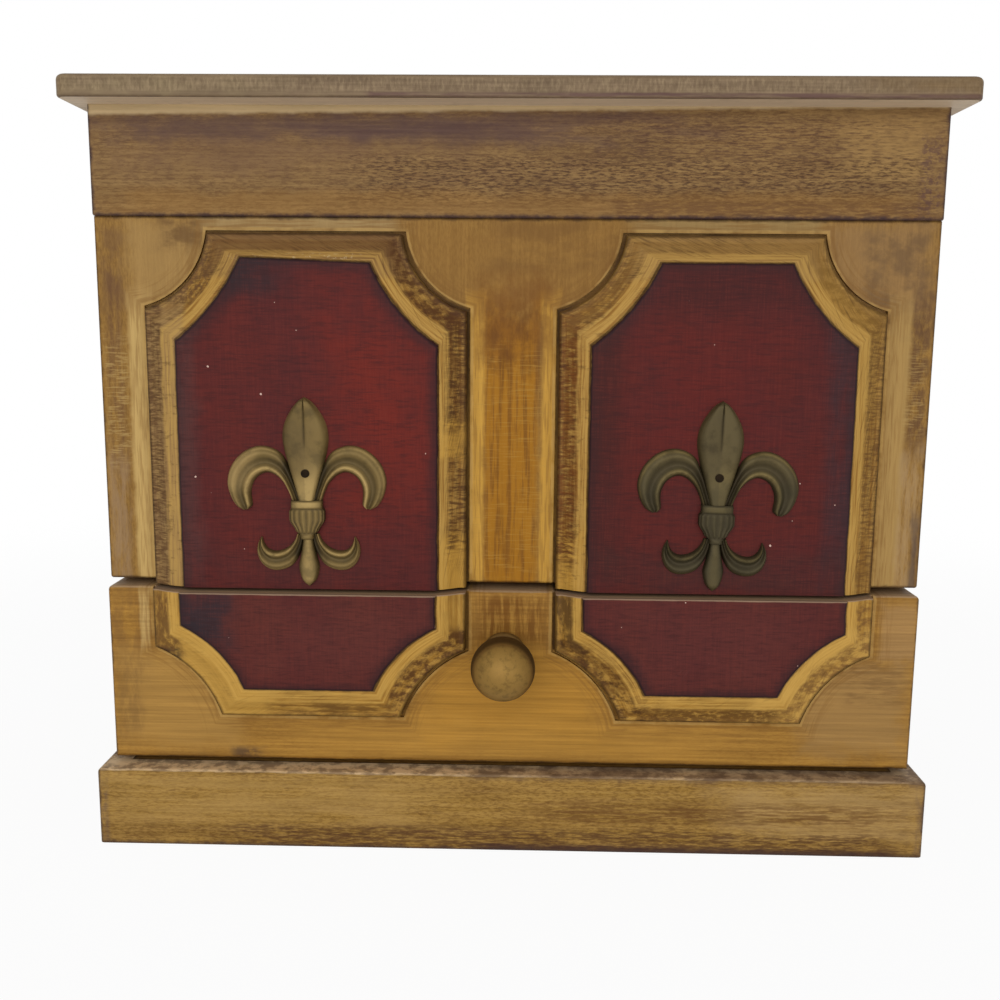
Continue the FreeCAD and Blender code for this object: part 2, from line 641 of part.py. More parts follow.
def make_mirror():
    """The mirror under the lid, held by four rebated beads."""
    glass = ("mirror_width", "mirror_depth", "mirror_thick")
    board("mirror", ("-mirror_width / 2", "mirror_front", "glass_base"), glass)
    thick = "mirror_thick + bead_lip_thick"
    long_size = ("mirror_width + 2 * bead_width", "bead_width + bead_lip", thick)
    short_size = ("bead_width + bead_lip", "mirror_depth - 2 * bead_lip", thick)
    low = {
        "front": ("-mirror_width / 2 - bead_width", "mirror_front - bead_width", "bead_base"),
        "back": ("-mirror_width / 2 - bead_width", "mirror_front + mirror_depth - bead_lip", "bead_base"),
        "left": ("-mirror_width / 2 - bead_width", "mirror_front + bead_lip", "bead_base"),
        "right": ("mirror_width / 2 - bead_lip", "mirror_front + bead_lip", "bead_base"),
    }
    for side, at in low.items():
        size = long_size if side in ("front", "back") else short_size
        body = board("mirror_bead_" + side, at, size)
        local = [f"-mirror_width / 2 - ({at[0]})", f"mirror_front - ({at[1]})", "bead_lip_thick"]
        cut_box(body, f"mirror_bead_{side}_rebate", local, glass)


def make_tray():
    """The lift-out tray: four sides, bottom, lining, two dividers and a ring cushion."""
    rim_size = ("2 * tray_half", "tray_board", "tray_height")
    board("tray_front", ("-(tray_half)", "tray_front_face", "tray_base"), rim_size)
    board("tray_back", ("-(tray_half)", "tray_back_face - tray_board", "tray_base"), rim_size)
    for side, sign in SIDES.items():
        low_x = "tray_inner_half" if sign > 0 else "-(tray_half)"
        board("tray_" + side, (low_x, "tray_inner_front", "tray_base"),
              ("tray_board", "tray_inner_depth", "tray_height"))
    left = "-(tray_inner_half)"
    width = "2 * tray_inner_half"
    board("tray_bottom", (left, "tray_inner_front", "tray_base"),
          (width, "tray_inner_depth", "tray_bottom_thick"))
    board("tray_lining", (left, "tray_inner_front", "tray_lining_base"),
          (width, "tray_inner_depth", "lining_thick"))
    board("tray_divider_long", (left, "tray_row_end", "tray_lining_top"),
          (width, "tray_divider", "tray_divider_height"))
    board("tray_divider_cross", ("-tray_divider / 2", "tray_row_end + tray_divider", "tray_lining_top"),
          ("tray_divider", "tray_inner_depth - tray_row - tray_divider", "tray_divider_height"))
    make_cushion()


def make_cushion():
    """The ring cushion: a soft base with rolls side by side, between which rings stand."""
    base = doc.addObject("Part::Box", "cushion_pad")
    low = ("cushion_gap - tray_inner_half", "tray_inner_front + cushion_gap", "tray_lining_top")
    place(base, low)
    depth = "(tray_row - 2 * cushion_gap)"
    bind(base, {"Length": "cushion_width", "Width": depth, "Height": "cushion_base + cushion_web"})
    rolls = []
    for number in range(int(size_of("cushion_lobes"))):
        roll = doc.addObject("Part::Cylinder", f"cushion_roll_{number}")
        roll.Placement.Rotation = FreeCAD.Rotation(FreeCAD.Vector(0, 1, 0), 90)
        bind(roll, {"Radius": f"{depth} / (2 * cushion_lobes)", "Height": "cushion_width"})
        place(roll, (low[0], f"{low[1]} + {depth} * {2 * number + 1} / (2 * cushion_lobes)",
                     f"{low[2]} + cushion_base"))
        rolls.append(roll)
    cushion = doc.addObject("Part::MultiFuse", "ring_cushion")
    cushion.Shapes = [base, *rolls]
    keep(cushion, "ring_cushion")


def solid(kind, name, sizes, at, turn=None):
    """A Part primitive with its sizes and place tied to the sheet."""
    thing = doc.addObject("Part::" + kind, name)
    if turn is not None:
        thing.Placement.Rotation = turn
    bind(thing, sizes)
    place(thing, at)
    return thing


ALONG_X = FreeCAD.Rotation(FreeCAD.Vector(0, 1, 0), 90)
ALONG_Y = FreeCAD.Rotation(FreeCAD.Vector(1, 0, 0), -90)


def hinge_leaf(name, middle, upper):
    """A hinge leaf round the pin: plate, knuckles with the straps behind them, and stop heels.

    The lower leaf has the two outer knuckles and the heels that stop the lid. The upper leaf
    has the middle knuckle, which turns on the pin.
    """
    third = "hinge_length / 3"
    if upper:
        spans = [(f"-({third}) / 2 + knuckle_gap / 2", f"{third} - knuckle_gap")]
    else:
        length = f"{third} - knuckle_gap / 2"
        spans = [("-hinge_length / 2", length), (f"({third}) / 2 + knuckle_gap / 2", length)]
    face = "back_face"
    root = "(knuckle_radius + leaf_relief)"
    plate_low = f"seam_height + {root}" if upper else "seam_height - leaf_height"
    parts = [solid("Box", name + "_plate",
                   {"Length": "hinge_length", "Width": "leaf_thick", "Height": f"leaf_height - {root}"},
                   (f"{middle} - hinge_length / 2", face, plate_low))]
    for number, (start, length) in enumerate(spans):
        low_x = f"{middle} + {start}"
        strap_low = "seam_height" if upper else f"seam_height - {root}"
        parts.append(solid("Box", f"{name}_strap_{number}",
                           {"Length": length, "Width": "leaf_thick", "Height": root},
                           (low_x, face, strap_low)))
        parts.append(solid("Cylinder", f"{name}_knuckle_{number}",
                           {"Radius": "knuckle_radius", "Height": length},
                           (low_x, "pin_place", "seam_height"), ALONG_X))
        if not upper:
            parts.append(solid("Box", f"{name}_heel_{number}",
                               {"Length": length, "Width": "heel_reach", "Height": "heel_thick"},
                               (low_x, "pin_place", "seam_height + heel_rise - heel_thick")))
    whole = doc.addObject("Part::MultiFuse", name + "_whole")
    whole.Shapes = parts

    bore_radius = "pin_radius + pin_clearance" if upper else "pin_radius"
    holes = [solid("Cylinder", name + "_bore", {"Radius": bore_radius, "Height": "hinge_length"},
                   (f"{middle} - hinge_length / 2", "pin_place", "seam_height"), ALONG_X)]
    for sign in SIDES.values():
        holes.append(screw_head(f"{name}_sink_{'lr'[sign > 0]}", middle, sign, upper))
    tool = doc.addObject("Part::MultiFuse", name + "_holes")
    tool.Shapes = holes
    leaf = doc.addObject("Part::Cut", name)
    leaf.Base = whole
    leaf.Tool = tool
    keep(leaf, name)


def screw_axis(middle, sign, upper):
    """Where a hinge screw's axis meets the back of the box."""
    rise = "+ wood_screw_place" if upper else "- wood_screw_place"
    return (f"{middle} + {sign} * wood_screw_pitch / 2", "back_face", f"seam_height {rise}")


def screw_head(name, middle, sign, upper):
    """The cone that a countersunk screw head fills in a leaf."""
    sizes = {"Radius1": "wood_screw_shank", "Radius2": "wood_screw_head", "Height": "leaf_thick"}
    return solid("Cone", name, sizes, screw_axis(middle, sign, upper), ALONG_Y)


def hinge_screws(name, upper):
    """The four equal screws that hold both hinges to one board."""
    screws = []
    for side, hand in SIDES.items():
        middle = f"{hand} * hinge_place"
        for sign in SIDES.values():
            tag = f"{name}_{side}_{'lr'[sign > 0]}"
            head = screw_head(tag + "_head", middle, sign, upper)
            x, y, z = screw_axis(middle, sign, upper)
            shank = solid("Cylinder", tag + "_shank",
                          {"Radius": "wood_screw_shank", "Height": "wood_screw_length"},
                          (x, f"{y} - wood_screw_length", z), ALONG_Y)
            screw = doc.addObject("Part::Fuse", tag)
            screw.Base = head
            screw.Tool = shank
            screws.append(screw)
    group = doc.addObject("Part::Compound", name)
    group.Links = screws
    keep(group, name)


def make_hinges():
    """Two butt hinges behind the seam, with their pins and screws."""
    pins = []
    for side, sign in SIDES.items():
        middle = f"{sign} * hinge_place"
        hinge_leaf("hinge_leaf_case_" + side, middle, False)
        hinge_leaf("hinge_leaf_lid_" + side, middle, True)
        start = (f"{middle} - hinge_length / 2", "pin_place", "seam_height")
        pin_size = {"Radius": "pin_radius", "Height": "hinge_length"}
        pins.append(solid("Cylinder", "hinge_pin_" + side, pin_size, start, ALONG_X))
    group = doc.addObject("Part::Compound", "hinge_pins")
    group.Links = pins
    keep(group, "hinge_pins")
    hinge_screws("hinge_screws_case", False)
    hinge_screws("hinge_screws_lid", True)


def outline_face(stretches, scale):
    """A closed face in the XZ plane from stretches: three points are an arc, two a line."""
    edges = []
    for stretch in stretches:
        points = [FreeCAD.Vector(x, 0, z) * scale for x, z in stretch]
        if len(points) == 3:
            edges.append(Part.Arc(*points).toShape())
        else:
            edges.append(Part.LineSegment(*points).toShape())
    return Part.Face(Part.Wire(edges))


def mirrored(stretches):
    """The same stretches on the other side of the Z axis, in an order that still joins up."""
    return [tuple((-x, z) for x, z in reversed(stretch)) for stretch in reversed(stretches)]


def on_axis(half):
    """Close a half outline, which starts on the Z axis, with its mirror image."""
    last = half[-1][-1]
    return [*half, (last, (-last[0], last[1])), *mirrored(half)]


def lily_shape():
    """The ornament, standing on its lower tip with its back on the plane Y = 0.

    Its outlines are drawn at one height and scaled to the sheet's.
    """
    petal = (
        ((0, 54.6), (5.0, 49.8), (6.5, 43.6)),
        ((6.5, 43.6), (5.2, 35.6), (2.2, 24.6)),
    )
    arm = (
        ((4.9, 38.4), (12.4, 40.9), (19.5, 37.3)),
        ((19.5, 37.3), (22.3, 30.5), (18.9, 23.6)),
        ((18.9, 23.6), (17.4, 22.7), (16.3, 23.5)),
        ((16.3, 23.5), (16.4, 29.9), (12.6, 33.7)),
        ((12.6, 33.7), (5.8, 32.4), (2.6, 24.6)),
        ((2.6, 24.6), (1.2, 24.6)),
        ((1.2, 24.6), (4.9, 38.4)),
    )
    curl = (
        ((2.8, 15.6), (4.9, 11.9), (8.9, 10.4)),
        ((8.9, 10.4), (11.8, 11.3), (13.4, 14.5)),
        ((13.4, 14.5), (14.6, 8.1), (9.6, 4.7)),
        ((9.6, 4.7), (4.0, 7.0), (0.9, 13.6)),
        ((0.9, 13.6), (2.8, 15.6)),
    )
    tail = (
        ((0, 0), (2.0, 2.7), (2.4, 5.8)),
        ((2.4, 5.8), (2.1, 10.4), (1.6, 15.6)),
    )
    outlines = [on_axis(petal), on_axis(tail), arm, mirrored(arm), curl, mirrored(curl)]
    forwards = FreeCAD.Vector(0, -size_of("lily_thick"), 0)
    drawn_tip = petal[0][0]
    scale = size_of("lily_height") / drawn_tip[1]
    leaves = [outline_face(stretches, scale).extrude(forwards) for stretches in outlines]

    wide = size_of("lily_band_width")
    tall = size_of("lily_band_height")
    deep = size_of("lily_band_thick")
    corner = FreeCAD.Vector(-wide / 2, -deep, size_of("lily_band_place") - tall / 2)
    band = Part.makeBox(wide, deep, tall, corner)
    front = [edge for edge in band.Edges if edge.BoundBox.YMax < -TOUCH]
    band = band.makeFillet(size_of("lily_band_round"), front)

    start = FreeCAD.Vector(0, -deep, size_of("nail_place"))
    hole = Part.makeCylinder(size_of("nail_shank"), deep, start, FreeCAD.Vector(0, 1, 0))
    return band.fuse(leaves).cut(hole).removeSplitter()


def make_lilies():
    """The two brass lily ornaments, each pinned by one nail."""
    face = "(front_face - field_height)"
    nails = []
    for side, sign in SIDES.items():
        lily = doc.addObject("Part::Feature", "lily_" + side)
        lily.Shape = lily_shape()
        place(lily, (f"{sign} * lily_centre", face, "lily_base"))
        keep(lily, "lily_" + side)
        axis = (f"{sign} * lily_centre", "lily_base + nail_place")
        shank = solid("Cylinder", f"nail_{side}_shank", {"Radius": "nail_shank", "Height": "nail_length"},
                      (axis[0], f"{face} - lily_thick", axis[1]), ALONG_Y)
        head = solid("Cylinder", f"nail_{side}_head", {"Radius": "nail_head", "Height": "nail_head_thick"},
                     (axis[0], f"{face} - lily_thick - nail_head_thick", axis[1]), ALONG_Y)
        nail = doc.addObject("Part::Fuse", "nail_" + side)
        nail.Base = shank
        nail.Tool = head
        nails.append(nail)
    group = doc.addObject("Part::Compound", "lily_nails")
    group.Links = nails
    keep(group, "lily_nails")


def check_and_write():
    """Stop on any failed object or shape, then write one file per sub-part."""
    doc.recompute()
    for item in doc.Objects:
        if "Invalid" in item.State or "Error" in item.State:
            raise ValueError(f"{item.Label} failed: {item.State}")
    for piece in pieces:
        if piece.Shape.isNull() or not piece.Shape.isValid():
            raise ValueError(f"{piece.Label} has no valid shape")
    os.makedirs("parts", exist_ok=True)
    for piece in pieces:
        piece.Shape.exportStep(f"parts/{piece.Label}.step")
    print(f"{len(pieces)} sub-parts written")


fill_sheet()
make_plinth()
make_carcass()
make_upper_front()
make_lilies()
make_drawer()
make_knob()
make_lid()
make_mirror()
make_tray()
make_hinges()
check_and_write()
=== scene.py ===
"""Looks of a painted wooden jewelry box: antiqued paint, carved plaques, brass lilies, velvet and hinges."""

import logging
import math
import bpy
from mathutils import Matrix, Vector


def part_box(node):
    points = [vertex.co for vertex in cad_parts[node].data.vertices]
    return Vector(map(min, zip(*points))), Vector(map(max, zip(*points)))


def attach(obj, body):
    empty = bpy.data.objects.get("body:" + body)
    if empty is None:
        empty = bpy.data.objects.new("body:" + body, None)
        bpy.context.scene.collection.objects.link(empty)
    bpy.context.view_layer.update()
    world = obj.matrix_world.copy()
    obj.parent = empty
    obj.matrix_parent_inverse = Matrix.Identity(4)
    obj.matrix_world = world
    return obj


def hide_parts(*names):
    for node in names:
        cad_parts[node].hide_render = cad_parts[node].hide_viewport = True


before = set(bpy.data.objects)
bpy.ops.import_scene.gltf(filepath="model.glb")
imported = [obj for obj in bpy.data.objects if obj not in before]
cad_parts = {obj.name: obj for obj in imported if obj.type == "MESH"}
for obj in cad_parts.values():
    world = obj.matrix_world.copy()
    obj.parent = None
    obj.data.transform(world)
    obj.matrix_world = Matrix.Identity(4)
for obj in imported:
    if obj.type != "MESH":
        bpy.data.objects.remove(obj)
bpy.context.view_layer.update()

from copy import copy
from dataclasses import dataclass
from enum import Enum
from typing import Callable, Iterable, Sequence

import bmesh
import bpy
from mathutils import Matrix, Vector, noise

LOG = logging.getLogger("jewelry_box")
MM = 0.001  # metres in a millimetre
SHARP_ANGLE = 38.0  # degrees from which an edge between two faces stays crisp

Socket = bpy.types.NodeSocket
Finish = bpy.types.Material
Colour = tuple[float, float, float, float]
Point = tuple[float, float, float]
Flat = tuple[float, float]
Area = tuple[float, float, float, float]
Borders = tuple[tuple[Flat, ...], tuple[Flat, ...]]


# ---------------------------------------------------------------- colours and shader maths


def tint(code: str) -> Colour:
    """Turn a display colour into the linear colour that shaders use.

    Args:
        code: Six hexadecimal digits.

    Returns:
        Red, green, blue and an alpha of one.
    """
    shares = [int(code[start:start + 2], 16) / 255 for start in (0, 2, 4)]
    linear = [c / 12.92 if c <= 0.04045 else ((c + 0.055) / 1.055) ** 2.4 for c in shares]
    return (linear[0], linear[1], linear[2], 1.0)


def maths(operation: str, flipped: bool = False) -> Callable[..., "Signal"]:
    """Make a method of Signal that adds one Math node.

    Args:
        operation: What the node works out.
        flipped: Whether the signal itself comes second.

    Returns:
        The method.
    """

    def method(signal: "Signal", other: "Signal | float" = 0.0) -> "Signal":
        """Work it out for a signal, and another one where it needs two.

        Args:
            signal: The signal.
            other: A second signal or number.

        Returns:
            The result.
        """
        first, second = (other, signal) if flipped else (signal, other)
        made = signal.graph.node("ShaderNodeMath", {"operation": operation}, {0: first, 1: second})
        return Signal(signal.graph, made.outputs[0])

    return method


class Signal:
    """A number that varies over a surface, with arithmetic that adds Math nodes."""

    def __init__(self, graph: "Graph", socket: Socket) -> None:
        """Wrap an output socket of a graph."""
        self.graph = graph
        self.socket = socket

    __add__ = maths("ADD")
    __radd__ = maths("ADD", flipped=True)
    __sub__ = maths("SUBTRACT")
    __rsub__ = maths("SUBTRACT", flipped=True)
    __mul__ = maths("MULTIPLY")
    __rmul__ = maths("MULTIPLY", flipped=True)
    __truediv__ = maths("DIVIDE")
    __rtruediv__ = maths("DIVIDE", flipped=True)
    __abs__ = maths("ABSOLUTE")
    least = maths("MINIMUM")
    most = maths("MAXIMUM")
    root = maths("SQRT")

    def rise(self, start: "Signal | float", end: "Signal | float") -> "Signal":
        """Go smoothly from zero at start to one at end.

        Args:
            start: Where it is zero.
            end: Where it is one.

        Returns:
            The share.
        """
        made = self.graph.node(
            "ShaderNodeMapRange",
            {"interpolation_type": "SMOOTHSTEP"},
            {"Value": self, "From Min": start, "From Max": end},
        )
        return Signal(self.graph, made.outputs[0])

    def fall(self, start: "Signal | float", end: "Signal | float") -> "Signal":
        """Go smoothly from one at start to zero at end."""
        return 1 - self.rise(start, end)

    def band(self, start: float, end: float, soft: float) -> "Signal":
        """One between start and end, with soft borders outside them."""
        return self.rise(start - soft, start) * self.fall(end, end + soft)


Value = Signal | Socket | float | str | Sequence[float]


class Graph:
    """The node tree of one material or world, in millimetres."""

    def __init__(self, owner: Finish | bpy.types.World) -> None:
        """Empty the owner's node tree.

        Args:
            owner: The material or world.
        """
        owner.use_nodes = True
        self.owner = owner
        self.tree = owner.node_tree
        self.tree.nodes.clear()

    def node(
        self,
        kind: str,
        settings: dict[str, object] | None = None,
        values: dict[str | int, Value] | None = None,
    ) -> bpy.types.Node:
        """Add a node.

        Args:
            kind: The node's type.
            settings: Its own settings, which are made first.
            values: What goes into its sockets, by name or number.

        Returns:
            The new node.
        """
        made = self.tree.nodes.new(kind)
        for key, setting in (settings or {}).items():
            setattr(made, key, setting)
        for socket, value in (values or {}).items():
            self.feed(made.inputs[socket], value)
        return made

    def feed(self, socket: Socket, value: Value) -> None:
        """Link a signal or an output to a socket, or set its number or its display colour.

        Args:
            socket: An input.
            value: What goes into it.
        """
        if isinstance(value, Signal):
            self.tree.links.new(value.socket, socket)
        elif isinstance(value, Socket):
            self.tree.links.new(value, socket)
        else:
            socket.default_value = tint(value) if isinstance(value, str) else value

    def place(self) -> Socket:
        """The point on the surface in millimetres, fixed to the piece."""
        spot = self.node("ShaderNodeTexCoord").outputs["Object"]
        return self.scale(spot, 1 / MM)

    def parts(self, vector: Socket) -> tuple[Signal, Signal, Signal]:
        """Split a vector into three signals."""
        split = self.node("ShaderNodeSeparateXYZ", values={0: vector})
        return tuple(Signal(self, socket) for socket in split.outputs)

    def join(self, x: Signal | float, y: Signal | float, z: Signal | float) -> Socket:
        """Make a vector of three signals."""
        return self.node("ShaderNodeCombineXYZ", values={0: x, 1: y, 2: z}).outputs[0]

    def attribute(self, name: str) -> Signal:
        """A number stored on the mesh."""
        made = self.node("ShaderNodeAttribute", {"attribute_name": name})
        return Signal(self, made.outputs["Fac"])

    def noise(
        self,
        vector: Socket,
        size: Sequence[float],
        detail: float = 2.0,
        rough: float = 0.5,
        twist: float = 0.0,
    ) -> Signal:
        """Noise about one half.

        Args:
            vector: Where it is read.
            size: The size of its spots along X, Y and Z, in millimetres.
            detail: How many finer layers it has.
            rough: How strong the finer layers are.
            twist: How much it is distorted.

        Returns:
            The noise.
        """
        squeeze = [1 / length for length in size]
        scaled = self.node("ShaderNodeVectorMath", {"operation": "MULTIPLY"}, {0: vector, 1: squeeze})
        made = self.node(
            "ShaderNodeTexNoise",
            values={
                "Vector": scaled.outputs[0], "Scale": 1.0, "Detail": detail,
                "Roughness": rough, "Distortion": twist,
            },
        )
        return Signal(self, made.outputs["Fac"])

    def mix(self, share: Signal | float, low: Value, high: Value) -> Socket:
        """Blend two colours."""
        made = self.node("ShaderNodeMix", {"data_type": "RGBA"}, {0: share, 6: low, 7: high})
        return made.outputs[2]

    def scale(self, vector: Value, times: Signal | float) -> Socket:
        """Multiply a vector or a colour by a number."""
        made = self.node("ShaderNodeVectorMath", {"operation": "SCALE"}, {0: vector, "Scale": times})
        return made.outputs[0]


# ---------------------------------------------------------------- meshes


@dataclass(frozen=True)
class Box:
    """An upright box in millimetres, such as the one round a CAD node."""

    low: Vector
    high: Vector

    @classmethod
    def of(cls, node: str) -> "Box":
        """Read the box of a node of the frame."""
        low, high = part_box(node)
        return cls(low / MM, high / MM)

    @property
    def size(self) -> Vector:
        """Its three sizes."""
        return self.high - self.low

    @property
    def middle(self) -> Vector:
        """Its centre."""
        return (self.low + self.high) / 2


class Mesh:
    """A mesh under construction, in millimetres, with numbers stored at its points."""

    def __init__(self, name: str, fields: Iterable[str] = ()) -> None:
        """Start an empty mesh with the given stored numbers.

        Args:
            name: Name of the piece.
            fields: Names of the stored numbers.
        """
        self.name = name
        self.points: list[Vector] = []
        self.faces: list[list[int]] = []
        self.stored: dict[str, list[float]] = {field: [] for field in fields}

    def point(self, spot: Sequence[float], **stored: float) -> int:
        """Add a point and return its number.

        Args:
            spot: Its place.
            stored: Its stored numbers, zero where left out.

        Returns:
            Its number.
        """
        self.points.append(Vector(spot))
        for field, values in self.stored.items():
            values.append(stored.get(field, 0.0))
        return len(self.points) - 1

    def face(self, corners: Sequence[int]) -> None:
        """Add a face, without corners that repeat.

        Args:
            corners: Numbers of its points, in order.
        """
        kept = [c for place, c in enumerate(corners) if c != corners[place - 1]]
        if len(set(kept)) > 2:
            self.faces.append(kept)

    def strip(self, first: Sequence[int], second: Sequence[int], closed: bool = False) -> None:
        """Join two rows of points with a row of faces.

        Args:
            first: One row.
            second: The other row.
            closed: Whether the rows close in a ring.
        """
        count = len(first)
        for place in range(count if closed else count - 1):
            after = (place + 1) % count
            self.face([first[place], first[after], second[after], second[place]])

    def grid(self, rows: Sequence[Sequence[int]], closed: bool = False) -> None:
        """Join each row of points to the next."""
        for first, second in zip(rows, rows[1:]):
            self.strip(first, second, closed)

    def shell(self, rows: Sequence[Sequence[int]]) -> None:
        """Join rows that stand on a flat back into a closed form.

        Args:
            rows: The rows, each from the back's one border to the other.
        """
        self.grid(rows)
        for row in (rows[0], rows[-1]):
            self.face(row)
        for first, second in zip(rows, rows[1:]):
            self.face([first[0], second[0], second[-1], first[-1]])

    def make(self, finish: Finish) -> bpy.types.Object:
        """Turn it into an object in the scene.

        Args:
            finish: Its material.

        Returns:
            The object, at the frame's origin.
        """
        data = bpy.data.meshes.new(self.name)
        data.from_pydata([point * MM for point in self.points], [], self.faces)
        for field, values in self.stored.items():
            data.attributes.new(field, "FLOAT", "POINT").data.foreach_set("value", values)
        data.materials.append(finish)
        data.validate()
        made = bpy.data.objects.new(self.name, data)
        bpy.context.scene.collection.objects.link(made)
        turn_outwards(made)
        data.shade_smooth()
        data.set_sharp_from_angle(angle=math.radians(SHARP_ANGLE))
        return made


def turn_outwards(piece: bpy.types.Object) -> None:
    """Make all faces of a piece look outwards.

    Args:
        piece: The piece.
    """
    work = bmesh.new()
    work.from_mesh(piece.data)
    bmesh.ops.recalc_face_normals(work, faces=work.faces)
    work.to_mesh(piece.data)
    work.free()


def seat(piece: bpy.types.Object, body: str, node: str) -> None:
    """Ride a piece on a body in place of a CAD node, and hide that node.

    Args:
        piece: The piece.
        body: The body it moves with.
        node: The node it stands for.
    """
    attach(piece, body)
    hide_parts(node)
    LOG.info("%s: %d points", node, len(piece.data.vertices))


def coat(node: str, finish: Finish) -> None:
    """Give a CAD node a material.

    Args:
        node: The node.
        finish: Its material.
    """
    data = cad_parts[node].data
    data.materials.clear()
    data.materials.append(finish)
    LOG.info("%s: %s", node, finish.name)


def smooth_line(points: Sequence[Flat], count: int) -> list[Vector]:
    """Sample a smooth line through points, evenly in their numbering.

    Args:
        points: What it passes through.
        count: How many samples it gives.

    Returns:
        The samples.
    """
    knots = [Vector(point) for point in points]
    knots = [2 * knots[0] - knots[1], *knots, 2 * knots[-1] - knots[-2]]
    spans = len(knots) - 3
    samples = []
    for number in range(count):
        place = number / (count - 1) * spans
        span = min(int(place), spans - 1)
        t = place - span
        a, b, c, d = knots[span:span + 4]
        square = 2 * a - 5 * b + 4 * c - d
        cube = 3 * b - a - 3 * c + d
        samples.append(0.5 * (2 * b + (c - a) * t + square * t ** 2 + cube * t ** 3))
    return samples


def ease(number: float, start: float, end: float) -> float:
    """Go smoothly from zero at start to one at end."""
    share = min(max((number - start) / (end - start), 0.0), 1.0)
    return share * share * (3 - 2 * share)


def waver(spot: Sequence[float], size: float, seed: float = 0.0) -> float:
    """Smooth noise from about -1 to 1 at a spot, with spots of a size in millimetres."""
    return noise.noise(Vector(spot) / size + Vector((seed, seed, seed)))


# ---------------------------------------------------------------- finishes


class Grain(Enum):
    """The axis a board's grain runs along."""

    ACROSS = 0
    DEEP = 1
    UPRIGHT = 2

    def sizes(self, along: float, over: float) -> list[float]:
        """Spot sizes for noise that is long along the grain."""
        return [along if axis == self.value else over for axis in range(3)]


class Surface(Graph):
    """A finish in the making: what it reads at each point of a piece, and its colour so far."""

    def __init__(self, name: str) -> None:
        """Start a material with its place and two shared noises about zero.

        Args:
            name: Name of the material.
        """
        super().__init__(bpy.data.materials.new(name))
        self.spot = self.place()
        self.x, self.y, self.z = self.parts(self.spot)
        self.ragged = self.cloud((7, 7, 7), 3.0, 0.62) - 0.5
        self.fine = self.cloud((2.2, 2.2, 2.2)) - 0.5
        self.colour: Value = "ffffff"

    def cloud(self, size: Sequence[float], detail: float = 2.0, rough: float = 0.6) -> Signal:
        """Noise about one half at the point, with spots of a size in millimetres."""
        return self.noise(self.spot, size, detail, rough)

    def blend(self, share: Signal, low: Value, high: Value) -> None:
        """Start the colour as a blend of two."""
        self.colour = self.mix(share, low, high)

    def lay(self, share: Signal, colour: Value) -> None:
        """Lay a colour over what is there."""
        self.blend(share, self.colour, colour)

    def shade(self, light: Signal) -> None:
        """Lighten or darken what is there."""
        self.colour = self.scale(self.colour, light)

    def touch_up(self, touches: Iterable["Touch"]) -> None:
        """Lay touches over what is there."""
        for touch in touches:
            self.colour = touch.over(self)

    def finish(
        self, rough: Value, relief: Signal | None = None, depth: float = 0.1, **fixed: float
    ) -> Finish:
        """Close the material with a Principled shader.

        Args:
            rough: Roughness.
            relief: Height of the fine surface relief, from zero to one.
            depth: What a relief of one stands for, in millimetres.
            fixed: Sockets that have one value all over, with _ for a space.

        Returns:
            The finished material.
        """
        values: dict[str | int, Value] = {"Base Color": self.colour, "Roughness": rough}
        values.update({name.replace("_", " "): value for name, value in fixed.items()})
        if relief is not None:
            bumpy = {"Height": relief, "Strength": 1.0, "Distance": depth * MM}
            values["Normal"] = self.node("ShaderNodeBump", values=bumpy).outputs[0]
        shader = self.node("ShaderNodeBsdfPrincipled", values=values)
        self.node("ShaderNodeOutputMaterial", values={"Surface": shader.outputs[0]})
        return self.owner


@dataclass(frozen=True)
class Touch:
    """A mark of the maker's brush or rag: a soft-edged area that holds a stain, streaks or ticks.

    The area is left, right, low and high in the frame's X and Z, in millimetres, and its ends fade more
    slowly than its long sides. Marks are the sizes of the streaks along X and Z, spread the levels of
    noise between which they come up, and slope how much the area climbs to the right.
    """

    area: Area
    code: str
    strength: float
    marks: Flat | None = None
    spread: Flat = (0.36, 0.66)
    soft: float = 4.0
    slope: float = 0.0

    RAGGED = 1.8  # how far noise moves the border, times soft
    LONGEST = 6.0  # the most that an end fades more slowly than a side

    def over(self, surface: Surface) -> Socket:
        """Give the surface's colour with the mark over it.

        Args:
            surface: The finish in the making.

        Returns:
            The new colour.
        """
        left, right, low, high = self.area
        shape = (right - left) / (high - low)
        z = surface.z - (surface.x - left) * self.slope
        sideways = (surface.x - left).least(right - surface.x) / min(max(shape, 1.0), self.LONGEST)
        upright = (z - low).least(high - z) / min(max(1 / shape, 1.0), self.LONGEST)
        inside = sideways.least(upright) + surface.ragged * (self.soft * self.RAGGED)
        share = inside.rise(-self.soft * 0.5, self.soft) * self.strength
        if self.marks is not None:
            wide, tall = self.marks
            share = share * surface.cloud((wide, wide, tall), 4.0, 0.66).rise(*self.spread)
        return surface.mix(share, surface.colour, self.code)


def wash(area: Area, code: str, strength: float, soft: float, slope: float = 0.0) -> Touch:
    """A touch that covers its area evenly, without streaks or ticks."""
    return Touch(area, code, strength, soft=soft, slope=slope)


